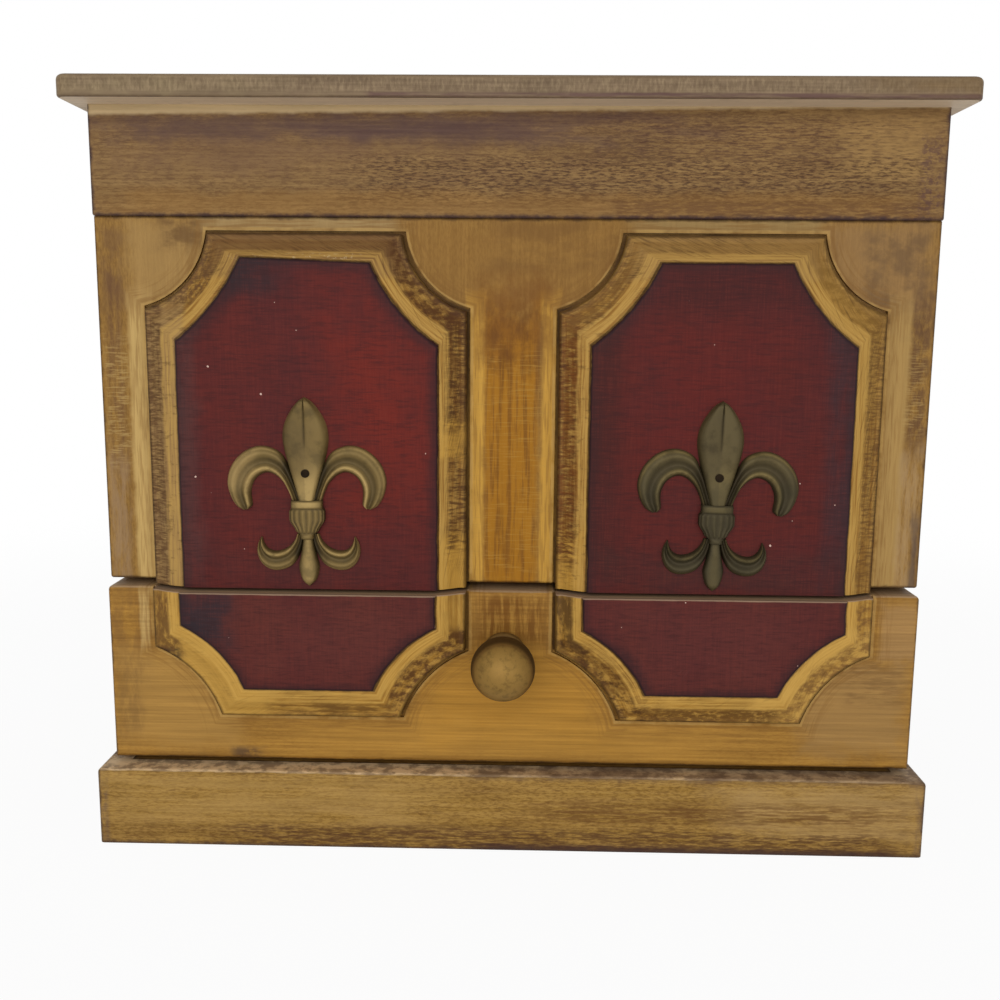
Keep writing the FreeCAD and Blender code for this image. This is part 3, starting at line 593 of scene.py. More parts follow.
@dataclass(frozen=True)
class AgedPaint:
    """Thin ochre paint over a brown ground, dragged along the grain, rubbed and darkened at edges.

    Streaks, dashes, speckle and blotches are the strengths of those marks, dash is how long and how thick
    a dash is, and grainy is how much the brush marks shade the paint. The edge's darkening is edge_width
    wide, and its distance to the upper edge counts from as far above it as spared says.
    """

    base: str = "8f662c"
    pale: str = "a98144"
    dark: str = "4a2f16"
    grain: Grain = Grain.ACROSS
    streaks: float = 0.5
    dashes: float = 0.35
    dash: Flat = (3.2, 0.5)
    speckle: float = 0.3
    grainy: float = 0.45
    blotches: float = 0.25
    edge_width: float = 1.3
    edge: float = 0.75
    edge_code: str = "33241c"
    spared: float = 0.0
    touches: tuple[Touch, ...] = ()

    def lay(self, surface: Surface) -> Signal:
        """Lay the paint, without its worn edges, and give the relief of the brush marks.

        Args:
            surface: The finish in the making.

        Returns:
            The relief.
        """
        drag = surface.cloud(self.grain.sizes(34, 0.8), 3.0)
        broad = surface.cloud(self.grain.sizes(60, 6.5), 3.0, 0.55)
        spots = surface.cloud((15, 15, 12), 3.0)
        surface.blend(drag.rise(0.34, 0.66) * self.streaks, self.base, self.pale)
        surface.lay(broad.fall(0.32, 0.55) * self.streaks * 0.7, self.dark)
        surface.lay(spots.fall(0.3, 0.55) * self.blotches, self.dark)
        speck = surface.cloud(self.grain.sizes(1.9, 0.5), 3.0, 0.7)
        surface.lay(speck.fall(0.4, 0.56) * self.speckle * 0.7, self.pale)
        surface.lay(speck.rise(0.46, 0.62) * self.speckle, self.dark)
        short = surface.cloud(self.grain.sizes(*self.dash))
        patchy = surface.cloud((11, 11, 7))
        surface.lay(short.rise(0.54, 0.63) * patchy.rise(0.4, 0.6) * self.dashes, self.dark)
        surface.touch_up(self.touches)
        surface.shade((drag - 0.5) * self.grainy + (speck - 0.5) * self.grainy * 0.5 + 1.0)
        return drag

    def wear(self, surface: Surface, box: Box) -> None:
        """Darken the paint along the edges of a board.

        Args:
            surface: The finish in the making.
            box: The board's box.
        """
        high = box.high + Vector((0.0, 0.0, self.spared))
        gaps = []
        for signal, least, most in zip((surface.x, surface.y, surface.z), box.low, high):
            gaps.append((signal - least).least(most - signal))
        a, b, c = gaps
        edge = a.least(b).most(a.most(b).least(c))
        ragged = surface.cloud((5, 5, 5), 3.0, 0.65) - 0.5
        dark = (edge + ragged * self.edge_width * 1.8).fall(0.1, self.edge_width)
        surface.lay(dark * self.edge, self.edge_code)

    def board(self, name: str, box: Box) -> Finish:
        """Make the finish of one board.

        Args:
            name: Name of the material.
            box: The board's box.

        Returns:
            The material.
        """
        surface = Surface(name)
        drag = self.lay(surface)
        self.wear(surface, box)
        return surface.finish(drag * -0.15 + 0.62, drag, 0.05, Specular_IOR_Level=0.12)


@dataclass(frozen=True)
class Scoop:
    """A scooped corner: its width, its height and the radius of its arc, in millimetres."""

    width: float
    height: float
    radius: float

    def toward(self, other: "Scoop", share: float) -> "Scoop":
        """The scoop part of the way to another one.

        Args:
            other: The other scoop.
            share: How much of the way.

        Returns:
            The scoop between.
        """
        return Scoop(
            self.width + (other.width - self.width) * share,
            self.height + (other.height - self.height) * share,
            self.radius + (other.radius - self.radius) * share,
        )

    @property
    def centre(self) -> Flat:
        """Centre of the arc, inwards and up from the corner that is scooped away.

        Returns:
            The two distances.
        """
        chord = math.hypot(self.width, self.height)
        reach = math.sqrt(self.radius ** 2 - (chord / 2) ** 2) / chord
        return (self.width / 2 - self.height * reach, -self.height / 2 + self.width * reach)

    def arc(self, steps: int) -> list[Flat]:
        """Points of the arc from the side to the end, without the last one.

        Args:
            steps: Number of steps round it.

        Returns:
            The points, from the scooped corner.
        """
        x, z = self.centre
        start = math.atan2(-self.height - z, -x)
        sweep = math.atan2(-z, self.width - x) - start
        angles = [start + sweep * step / steps for step in range(steps)]
        return [(x + self.radius * math.cos(a), z + self.radius * math.sin(a)) for a in angles]


@dataclass(frozen=True)
class Skew:
    """How the hand-cut field of a panel differs from a true one, in millimetres.

    It lies aside, reaches further up at its left and right, and is wider on either side by these.
    """

    aside: float = 0.0
    left: float = 0.0
    right: float = 0.0
    wider: float = 0.0


@dataclass(frozen=True)
class Outline:
    """A panel with scooped corners at one end, in millimetres of the frame's X and Z.

    It stands on its base, or hangs from it, and its moulding reaches inwards to the field.
    """

    middle: float
    base: float
    width: float
    height: float
    scoop: Scoop
    field_scoop: Scoop
    hanging: bool = False
    skew: Skew = Skew()
    moulding: float = 8.9

    def gap(self, surface: Surface) -> Signal:
        """Distance outside the outline, negative inside.

        Args:
            surface: Where it is read.

        Returns:
            The distance in millimetres.
        """
        half = self.width / 2
        across = abs(surface.x - self.middle) - half
        up = (self.base - surface.z if self.hanging else surface.z - self.base) - self.height
        inwards, rise = self.scoop.centre
        off = across + inwards
        over = up - rise
        return across.most(up).most(self.scoop.radius - (off * off + over * over).root())

    def line(self, inset: float, side: int = 60, arc: int = 26, top: int = 28) -> list[Flat]:
        """Points of the outline moved inwards, from the left foot round to the right one.

        Args:
            inset: How far inwards it lies.
            side: Number of steps up a side.
            arc: Number of steps round a scoop.
            top: Number of steps along half of the far edge.

        Returns:
            Points about the middle of the base, with the height growing away from it.
        """
        half = self.width / 2 - inset
        tall = self.height - inset
        scoop = self.scoop.toward(self.field_scoop, min(inset / self.moulding, 1.0))
        points = [(-half, (tall - scoop.height) * step / side) for step in range(side)]
        points += [(x - half, z + tall) for x, z in scoop.arc(arc)]
        points += [((scoop.width - half) * (1 - step / top), tall) for step in range(top)]
        right = [(-x, z) for x, z in reversed(points)]
        return points + [(0.0, tall)] + right

    def skewed(self, x: float, up: float, inset: float) -> Flat:
        """Move a point of the field by what the hand-cut one differs.

        Args:
            x: Place across.
            up: Height over the foot.
            inset: Distance inwards from the outline.

        Returns:
            The moved place and height.
        """
        share = ease(inset, 4.5, 9.0)
        far = ease(up, self.height - 42, self.height - 14)
        across = x / self.width + 0.5
        lift = self.skew.left + (self.skew.right - self.skew.left) * across
        aside = self.skew.aside + self.skew.wider * (2 * across - 1)
        return (x + aside * share, up + lift * far * share)


@dataclass(frozen=True)
class FrontPaint(AgedPaint):
    """Paint of a front board, with painted shadow in the grooves round its panels and a painted highlight on
    the arris beside them.
    """

    halo: float = 0.3
    arris_highlight: str = "c09a58"

    def front(self, name: str, box: Box, outlines: Sequence[Outline]) -> Finish:
        """Make the finish of a front board.

        Args:
            name: Name of the material.
            box: The board's box.
            outlines: The panels on it.

        Returns:
            The material.
        """
        surface = Surface(name)
        drag = self.lay(surface)
        for outline in outlines:
            gap = outline.gap(surface)
            sweep = surface.noise(surface.join(gap, surface.x, surface.z), (0.7, 12, 12), 2.0, 0.6)
            surface.lay(sweep.rise(0.45, 0.62) * gap.fall(3.0, 9.0) * 0.45, "7a5424")
            surface.lay((gap + surface.ragged * 5.0).fall(0.4, 4.5) * self.halo, "77511f")
            # painted highlight along the arris just outside each panel
            light = (gap + surface.fine * 0.5).band(1.15, 1.6, 0.45) * (surface.ragged + 0.5).rise(0.3, 0.6)
            surface.lay(light * 0.5, self.arris_highlight)
            # painted shadow in the groove round each panel
            deep = surface.cloud((22, 22, 22), 1.0, 0.5).rise(0.35, 0.65) * 0.5 + 0.3
            surface.lay((gap + surface.fine * 0.8).fall(0.3, 0.9) * deep, "38230f")
        self.wear(surface, box)
        return surface.finish(drag * -0.15 + 0.6, drag, 0.05, Specular_IOR_Level=0.12)


@dataclass(frozen=True)
class FieldPaint:
    """Deep red of a raised field, with its brighter heart and smoky borders."""

    heart: Touch
    red: str = "571d18"
    dull: str = "4a1b1b"
    deep: str = "2a171a"
    border: float = 5.0
    touches: tuple[Touch, ...] = ()

    def lay(self, surface: Surface, inset: Signal) -> Signal:
        """Lay the paint, and give the relief of its woven brush marks.

        Args:
            surface: What it is laid on.
            inset: Distance from the outline of the panel.

        Returns:
            The relief.
        """
        cloudy = surface.cloud((24, 24, 28), 3.0) - 0.5
        surface.blend(cloudy.rise(-0.14, 0.16) * 0.6, self.red, self.dull)
        surface.touch_up([self.heart])
        rim = (inset - 9.0 + cloudy * self.border * 1.6 + surface.fine * 1.5).fall(0.0, self.border)
        surface.lay(rim * 0.7, self.deep)
        surface.touch_up(self.touches)
        weave = surface.cloud((7, 7, 0.42)) + surface.cloud((0.42, 7, 9))
        surface.lay(weave.rise(1.0, 1.3) * 0.2, "231012")
        surface.lay(weave.fall(0.75, 1.0) * 0.12, "7c3427")
        surface.lay(surface.cloud((5, 5, 0.7), 3.0, 0.65).rise(0.46, 0.68) * 0.4, "2e1213")
        surface.lay(surface.cloud((1.5, 1.5, 1.5), 0.0).rise(0.87, 0.885), "c9a99a")
        return weave


@dataclass(frozen=True)
class PanelPaint:
    """Paint of a carved panel: mottled ochre moulding round a field.

    The touches lie under the wear of the rolled edge, the rubbed ones on that edge alone, and the last
    ones over all.
    """

    field: FieldPaint
    ochre: str = "8b6227"
    pale: str = "bb944c"
    brown: str = "3d2510"
    dark: str = "23150b"
    mottle: float = 0.5
    touches: tuple[Touch, ...] = ()
    rubbed: tuple[Touch, ...] = ()
    last: tuple[Touch, ...] = ()

    def material(self, name: str) -> Finish:
        """Make the finish from the numbers stored on the panel's mesh.

        Args:
            name: Name of the material.

        Returns:
            The material.
        """
        surface = Surface(name)
        inset = surface.attribute("inset")
        along = surface.attribute("along")
        run = surface.join(along, inset, 0.0)
        brush = surface.noise(run, (20, 0.7, 1), 3.0, 0.6)
        patches = surface.cloud((13, 13, 13), 3.0)
        surface.blend(brush.rise(0.35, 0.65) * 0.6, self.ochre, self.pale)
        surface.lay(patches.fall(0.3, 0.52) * 0.35, self.brown)
        surface.touch_up(self.touches)
        ticks = surface.noise(run, (0.6, 3.0, 1), 3.0, 0.7)
        outer = (inset + surface.ragged * 3.0).band(0.7, 4.8, 0.9)
        worn = outer * (patches.rise(0.4, 0.6) * 0.6 + 0.4) * (ticks.rise(0.44, 0.6) * 0.8 + 0.2)
        surface.lay(worn * self.mottle, self.brown)
        for touch in self.rubbed:
            surface.lay(outer, touch.over(surface))
        stray = ticks.rise(0.56, 0.68) * inset.band(4.4, 8.2, 0.6) * patches.rise(0.4, 0.6)
        surface.lay(stray * self.mottle, self.brown)
        # painted highlight on the moulding's upper slope, next to the field
        light = (inset + surface.fine).band(5.6, 8.5, 1.2) * brush.rise(0.3, 0.6)
        surface.lay(light * 0.55, self.pale)
        smear = surface.noise(run, (1.8, 3.6, 1), 4.0, 0.68)
        surface.lay(smear.rise(0.54, 0.66) * self.mottle * 0.8, self.brown)
        # painted shadow in the groove at the panel's foot
        surface.lay((inset + surface.fine * 0.7).fall(0.3, 1.0) * 0.6, self.dark)
        red = copy(surface)
        weave = self.field.lay(red, inset)
        field = (inset + surface.ragged * 0.7 + surface.fine * 0.5).rise(8.65, 8.95)
        surface.lay(field, red.colour)
        surface.lay((inset + surface.fine * 0.4).band(8.55, 9.15, 0.35) * 0.65, "1d1216")
        surface.touch_up(self.last)
        relief = brush * 0.6 + weave * 0.3
        return surface.finish(0.55, relief, 0.06, Specular_IOR_Level=0.12)


@dataclass(frozen=True)
class OldBrass:
    """Cast brass, lighter on its crests and dark in its hollows: rubbed wear and dark wax, with painted
    highlights and painted shade from the brightness stored on its mesh.
    """

    light: str = "a08754"
    mid: str = "6b5832"
    dark: str = "2a2213"
    grime: float = 0.5
    spots: float = 6.0
    touches: tuple[Touch, ...] = ()

    def material(self, name: str) -> Finish:
        """Make the finish, from the rubbed wear and painted light and shade stored on the mesh.

        Args:
            name: Name of the material.

        Returns:
            The material.
        """
        surface = Surface(name)
        worn = surface.cloud((self.spots, self.spots, self.spots), 4.0, 0.65)
        shine = surface.attribute("shine")
        # painted highlights and rubbed wear: lighter where the stored brightness is high
        surface.blend((shine + (worn - 0.5) * 0.5).rise(0.45, 0.95), self.mid, self.light)
        surface.lay(worn.rise(0.45, 0.68) * self.grime, self.dark)
        surface.touch_up(self.touches)
        # painted shade with dark wax: dark where the stored brightness is low, in hollows and at outlines
        surface.lay((shine + (worn - 0.5) * 0.35).fall(0.05, 0.45) * 0.92, self.dark)
        return surface.finish(worn * 0.2 + 0.45, worn, 0.08, Metallic=0.45, Specular_IOR_Level=0.2)


@dataclass(frozen=True)
class Metal:
    """Plain metal of hinges, pins, screws and nails."""

    base: str
    dark: str
    rough: float

    def material(self, name: str) -> Finish:
        """Make the finish.

        Args:
            name: Name of the material.

        Returns:
            The material.
        """
        surface = Surface(name)
        worn = surface.cloud((5, 5, 5), 4.0)
        scratch = surface.cloud((0.3, 0.3, 6))
        surface.blend(worn.rise(0.4, 0.7), self.base, self.dark)
        return surface.finish(scratch * 0.2 + self.rough, scratch, 0.02, Metallic=0.9)


@dataclass(frozen=True)
class Velvet:
    """Short pile glued over card, with rubbed patches."""

    base: str
    rubbed: str

    def material(self, name: str) -> Finish:
        """Make the finish.

        Args:
            name: Name of the material.

        Returns:
            The material.
        """
        surface = Surface(name)
        pile = surface.cloud((0.35, 0.35, 0.35), 2.0, 0.7)
        laid = surface.cloud((24, 24, 24), 3.0, 0.55)
        surface.blend(laid.rise(0.38, 0.64) * 0.7, self.base, self.rubbed)
        surface.shade(pile * 0.5 + 0.75)
        return surface.finish(0.95, pile, 0.25, Sheen_Weight=0.4, Sheen_Roughness=0.4)


@dataclass(frozen=True)
class BareWood:
    """Unpainted or stained wood with grain."""

    base: str
    dark: str
    grain: Grain
    rough: float = 0.62

    def board(self, name: str, box: Box) -> Finish:
        """Make the finish of one board.

        Args:
            name: Name of the material.
            box: The board's box.

        Returns:
            The material.
        """
        surface = Surface(name)
        lines = surface.noise(surface.spot, self.grain.sizes(70, 1.6), 4.0, 0.6, 0.3)
        pores = surface.cloud(self.grain.sizes(6, 0.35))
        surface.blend(lines.rise(0.36, 0.66), self.base, self.dark)
        surface.lay(pores.rise(0.6, 0.72) * 0.5, self.dark)
        AgedPaint(edge_code=self.dark, edge=0.35).wear(surface, box)
        return surface.finish(lines * 0.15 + self.rough, lines + pores * 0.5, 0.05)


@dataclass(frozen=True)
class MirrorGlass:
    """Silvered glass, with a faint haze."""

    bright: str = "e4e8e6"
    hazy: str = "d2d8d4"

    def material(self, name: str) -> Finish:
        """Make the finish.

        Args:
            name: Name of the material.

        Returns:
            The material.
        """
        surface = Surface(name)
        haze = surface.cloud((30, 30, 30), 3.0)
        surface.blend(haze.rise(0.5, 0.8), self.bright, self.hazy)
        return surface.finish(haze * 0.03 + 0.015, Metallic=1.0)


# ---------------------------------------------------------------- sub-assemblies


@dataclass(frozen=True)
class Panel:
    """A carved panel: rolled edge, sloping moulding, cove and raised field.

    Its profile gives the height at each distance inwards from the outline, as far as deepest. Its foot is
    longer than the CAD solid by longer, and its moulding is uneven in height and wandering in course.
    """

    node: str
    body: str
    outline: Outline
    paint: PanelPaint
    face: float
    back: float = 1.5
    deepest: float = 25.0
    longer: float = 0.0
    uneven: float = 0.16
    wandering: float = 0.18
    profile: tuple[Flat, ...] = (
        (0.0, 0.0), (0.0, 2.5), (0.12, 2.9), (0.4, 3.15), (0.9, 3.25), (1.4, 3.18), (1.8, 3.25),
        (2.4, 3.6), (3.2, 4.05), (4.2, 4.6), (5.2, 5.15), (6.2, 5.62), (7.0, 5.95), (7.7, 6.18),
        (8.15, 6.28), (8.4, 6.2), (8.55, 6.12), (8.68, 6.5), (8.8, 7.0), (9.0, 7.3), (9.4, 7.45),
        (10.0, 7.5), (11.5, 7.5), (13.5, 7.5), (17.0, 7.5), (21.0, 7.5), (25.0, 7.5),
    )

    def spot(self, x: float, up: float, high: float) -> Vector:
        """Place a point of the outline in the frame.

        Args:
            x: Place across.
            up: Height over the foot.
            high: How far it stands forward of the face.

        Returns:
            The point.
        """
        shape = self.outline
        z = shape.base - up if shape.hanging else shape.base + up
        return Vector((shape.middle + x, self.face - high, z))

    def row(self, mesh: Mesh, inset: float, high: float) -> list[int]:
        """Add the points of the outline moved inwards.

        Args:
            mesh: The mesh they are added to.
            inset: How far inwards they lie.
            high: Height of the section there.

        Returns:
            Their numbers.
        """
        line = self.outline.line(inset)
        row = []
        walked = 0.0
        for number, (x, up) in enumerate(line):
            if number:
                walked += math.dist(line[number - 1], (x, up))
            carved = waver((x, up, 0), 9.0, 3.0) * self.uneven * ease(inset, 1.0, 4.0)
            carved *= 1 - ease(inset, 7.6, 8.6)
            wobble = waver((x, up, 5), 6.0, 7.0) * self.wandering * ease(inset, 0.5, 3.0)
            wobble *= 1 - ease(inset, 12, 17)
            across, away = self.outline.skewed(x, up, inset)
            away -= self.longer * (1 - ease(up, 0.0, 8.0))
            spot = self.spot(across + wobble, away, high + carved)
            row.append(mesh.point(spot, inset=inset, along=walked))
        return row

    def build(self) -> None:
        """Model the panel in place of its CAD solid."""
        mesh = Mesh(self.node + "_carved", ("inset", "along"))
        steps = [step for step in self.profile if step[0] <= self.deepest]
        rows = [self.row(mesh, inset, high) for inset, high in [(0.0, -self.back), *steps]]
        mesh.grid(rows)
        inner = rows[-1]
        half = len(inner) // 2
        mesh.strip(inner[:half + 1], list(reversed(inner[half:])))
        left = [row[0] for row in rows]
        right = [row[-1] for row in rows]
        mesh.face([*left, *reversed(right)])
        mesh.face(list(reversed(rows[0])))
        made = mesh.make(self.paint.material(self.node + "_paint"))
        seat(made, self.body, self.node)


@dataclass(frozen=True)
class Lily:
    """A cast brass lily with a creased petal, fluted arms and curls, and a ribbed tie band.

    It leans to the right by lean, in degrees, about the height of its pivot, and its borders are sunk into
    the panel. Each part is drawn between an outer and an inner border, from its root to its tip.
    """

    node: str
    x: float
    face: float
    base: float
    lean: float
    finish: OldBrass
    sunk: float = -0.2
    pivot: float = 25.0
    lobe_steps: int = 22
    band_ends: Flat = (14.2, 25.4)
    band_rows: int = 32
    band_steps: int = 48
    ribs: int = 8
    petal_borders: Borders = (
        ((-2.2, 24.6), (-2.9, 27.6), (-4.0, 31.4), (-5.1, 35.2), (-6.1, 39.4), (-6.6, 43.4), (-5.9, 47.4),
         (-4.1, 50.9), (-2.0, 53.5), (0.0, 54.8)),
        ((2.2, 24.6), (2.9, 27.6), (4.0, 31.4), (5.1, 35.2), (6.1, 39.4), (6.6, 43.4), (5.9, 47.4),
         (4.1, 50.9), (2.0, 53.5), (0.0, 54.8)),
    )
    arm_borders: Borders = (
        ((1.2, 24.6), (2.9, 29.6), (4.8, 34.8), (6.9, 38.6), (10.0, 40.5), (13.8, 40.9), (18.0, 39.2),
         (21.4, 35.6), (22.9, 31.0), (22.2, 26.8), (20.5, 23.8), (18.6, 22.6)),
        ((4.2, 24.6), (5.1, 27.4), (6.5, 30.2), (8.6, 32.3), (11.0, 33.3), (13.2, 32.7), (14.9, 31.2),
         (15.9, 29.0), (16.1, 27.0), (15.9, 25.2), (15.9, 23.8), (16.9, 22.8)),
    )
    curl_borders: Borders = (
        ((1.0, 15.4), (1.8, 11.6), (3.0, 8.6), (5.0, 6.1), (8.0, 4.8), (11.2, 4.9), (13.7, 6.7), (14.9, 9.6),
         (14.7, 12.4), (13.6, 14.7)),
        ((3.2, 15.6), (3.8, 14.0), (5.0, 12.4), (6.8, 11.1), (9.0, 10.5), (10.8, 10.7), (12.1, 11.6),
         (12.9, 12.9), (13.2, 13.9), (13.4, 14.6)),
    )
    tail_borders: Borders = (
        ((-1.3, 15.4), (-1.8, 12.0), (-2.5, 8.6), (-3.0, 5.6), (-2.0, 2.0), (0.0, 0.1)),
        ((1.3, 15.4), (1.8, 12.0), (2.5, 8.6), (3.0, 5.6), (2.0, 2.0), (0.0, 0.1)),
    )

    def lobe(
        self,
        mesh: Mesh,
        borders: Sequence[Sequence[Flat]],
        section: Callable[[float, float], Flat],
        mirrored: bool,
        low: float,
        high: float,
        rows: int = 46,
    ) -> None:
        """Add one closed lobe between two border lines.

        Args:
            mesh: The mesh it is added to.
            borders: Its outer and inner border.
            section: Height and painted brightness, from zero to one, at a share across and a share along.
            mirrored: Whether it is turned over left to right.
            low: Height of its border above the panel, in millimetres.
            high: Height of its crest, in millimetres.
            rows: Number of cross-sections.
        """
        outer = smooth_line(borders[0], rows)
        inner = smooth_line(borders[1], rows)
        sign = -1 if mirrored else 1
        laid = []
        for number, (start, end) in enumerate(zip(outer, inner)):
            width = (end - start).length
            swell = min(1.0, width / 4.0) ** 0.7
            # the borders get a low brightness: painted shade where the lobe meets the panel
            line = [(start, 0.2, self.sunk)]
            for step in range(self.lobe_steps + 1):
                share = step / self.lobe_steps
                rounded = min(1.0, math.sqrt(max(0.0, 1 - (2 * share - 1) ** 6)) + 0.05)
                form, shine = section(share, number / (rows - 1))
                line.append((start.lerp(end, share), shine, (low + (high - low) * form * swell) * rounded))
            line.append((end, 0.2, self.sunk))
            laid.append([
                mesh.point(self.place(sign * spot.x, spot.y, rise), shine=shine)
                for spot, shine, rise in line
            ])
        mesh.shell(laid)

    def place(self, x: float, up: float, rise: float) -> Vector:
        """Place a point of the drawing on the panel, leaning by the lily's own angle.

        Args:
            x: Place across.
            up: Height in the drawing.
            rise: How far it stands forward of the panel.

        Returns:
            The point.
        """
        angle = math.radians(self.lean)
        above = up - self.pivot
        turned = x * math.cos(angle) + above * math.sin(angle)
        height = self.pivot + above * math.cos(angle) - x * math.sin(angle)
        return Vector((self.x + turned, self.face - rise, self.base + height))

    def band(self, mesh: Mesh) -> None:
        """Add the tie band with its ribs and rims.

        Args:
            mesh: The mesh it is added to.
        """
        rows = []
        foot, head = self.band_ends
        for number in range(self.band_rows + 1):
            up = foot + (head - foot) * number / self.band_rows
            half = 1.9 + 1.4 * ease(up, 15.2, 16.6) + 1.8 * ease(up, 16.4, 20.0) - 0.6 * ease(up, 22.2, 23.4)
            rim = ease(up, 22.9, 23.5) * (1 - ease(up, 24.9, 25.4))
            ring = ease(up, 14.2, 14.6) * (1 - ease(up, 15.4, 15.9))
            waist = ease(up, 15.9, 16.6) * (1 - ease(up, 22.2, 22.9))
            row = [mesh.point(self.place(-half, up, self.sunk))]
            for step in range(self.band_steps + 1):
                angle = math.pi * step / self.band_steps
                rib = 0.5 - 0.5 * math.cos(angle * 2 * self.ribs)
                raised = max(rim, ring * 0.7)
                rise = 0.9 + 2.1 * math.sin(angle) ** 0.6 + 0.4 * raised + 0.26 * rib * waist
                # painted highlights on the rims and ribs, and painted shade down the band's rounded sides
                # and borders
                shine = max(raised * 0.85, 0.26 + 0.36 * rib * waist) * (0.55 + 0.45 * math.sin(angle))
                row.append(mesh.point(self.place(-half * math.cos(angle), up, rise), shine=shine))
            row.append(mesh.point(self.place(half, up, self.sunk)))
            rows.append(row)
        mesh.shell(rows)

    @staticmethod
    def petal(share: float, along: float) -> Flat:
        """Height and painted brightness of the petal: two gentle halves that meet in a shaded crease towards
        the tip.

        Args:
            share: Share of the way across.
            along: Share of the way from foot to tip.

        Returns:
            Height and brightness, from zero to one.
        """
        off = abs(2 * share - 1)
        # painted light and shade: a dark crease, a darker left half, a lighter foot and highlighted edges
        crease = math.exp(-(off / 0.05) ** 2) * ease(along, 0.3, 0.6)
        height = 0.92 - 0.16 * crease - 0.25 * off ** 3
        side = -0.08 if share < 0.5 else 0.04
        foot = 0.38 * (1 - ease(along, 0.14, 0.5))
        rim = 0.25 * ease(off, 0.8, 0.95) * ease(along, 0.4, 0.7)
        return (height, 0.42 + side + foot + rim - 0.26 * crease)

    @staticmethod
    def flute(share: float, along: float) -> Flat:
        """Height and painted brightness of an arm: highlighted outer roll, shaded long groove and a
        highlighted wide inner rim.

        Args:
            share: Share of the way across.
            along: Share of the way from root to end.

        Returns:
            Height and brightness, from zero to one.
        """
        roll = 0.72 * math.exp(-((share - 0.26) / 0.2) ** 2)
        rim = 0.95 * math.exp(-((share - 0.82) / 0.15) ** 2)
        lit = 0.85 * math.exp(-((share - 0.08) / 0.1) ** 2)
        shine = max(lit, 0.78 * roll, rim, 0.26)
        # painted shade at the root, beside the band
        root = (1 - ease(along, 0.16, 0.34)) * (1 - ease(share, 0.3, 0.55))
        return (min(1.0, 0.26 + 0.74 * max(roll, rim)), shine * (1 - root))

    @staticmethod
    def tail(share: float, along: float) -> Flat:
        """Height and painted brightness of the tail: a plain rounded leaf, with painted shade on its sides
        beside the curls.
        """
        off = abs(2 * share - 1)
        return (1 - 0.4 * off * off, 0.75 - 0.55 * off * off * (1 - 0.6 * ease(along, 0.5, 0.8)))

    def build(self) -> None:
        """Model the lily in place of its CAD solid."""
        mesh = Mesh(self.node + "_cast", ("shine",))
        self.lobe(mesh, self.petal_borders, self.petal, False, 0.9, 2.9, 60)
        self.lobe(mesh, self.tail_borders, self.tail, False, 0.6, 2.3, 34)
        for mirrored in (False, True):
            self.lobe(mesh, self.arm_borders, self.flute, mirrored, 0.6, 2.2, 64)
            self.lobe(mesh, self.curl_borders, self.flute, mirrored, 0.5, 2.1, 46)
        self.band(mesh)
        made = mesh.make(self.finish.material(self.node + "_brass"))
        seat(made, "case", self.node)


@dataclass(frozen=True)
class Knob:
    """The turned knob: a foot and a ringed neck, given as Y, radius and painted brightness, and a ball."""

    node: str = "drawer_knob"
    x: float = -1.8
    z: float = 59.3
    radius: float = 9.15
    front: float = -91.575
    ball_steps: int = 37
    steps: int = 96
    # the neck's low brightness paints foot and neck dark: partly a darker foot, partly painted shadow round
    # the ball
    neck: tuple[Point, ...] = (
        (-67.425, 6.1, 0.2), (-68.0, 6.6, 0.3), (-68.7, 6.6, 0.4), (-69.2, 6.3, 0.35), (-69.6, 5.6, 0.2),
        (-70.2, 5.5, 0.25), (-70.8, 5.9, 0.4), (-71.4, 5.8, 0.4), (-71.9, 5.1, 0.25), (-72.5, 4.6, 0.2),
        (-73.6, 4.4, 0.2),
    )

    def profile(self) -> list[Point]:
        """Follow the knob from its foot to its front.

        Returns:
            Y, radius and painted brightness at each step.
        """
        begin = math.asin(self.neck[-1][1] / self.radius)
        centre = self.front + self.radius
        points = list(self.neck)
        for step in range(self.ball_steps):
            angle = begin + (math.pi - begin) * step / self.ball_steps
            side = math.sin(angle)
            # painted shade: the ball darkens towards its outline as seen from the front
            bright = 0.8 - 0.78 * ease(side, 0.82, 0.99)
            points.append((centre + self.radius * math.cos(angle), self.radius * side, bright))
        return points

    def build(self, finish: Finish) -> None:
        """Turn the profile round its axis, in place of the CAD solid.

        Args:
            finish: Its material.
        """
        mesh = Mesh(self.node + "_turned", ("shine",))
        rows = []
        for y, radius, shine in self.profile():
            row = []
            for step in range(self.steps):
                angle = math.tau * step / self.steps
                spot = (self.x + radius * math.cos(angle), y, self.z + radius * math.sin(angle))
                row.append(mesh.point(spot, shine=shine))
            rows.append(row)
        mesh.grid(rows, closed=True)
        mesh.face(rows[0])
        mesh.face(rows[-1])
        seat(mesh.make(finish), "drawer", self.node)


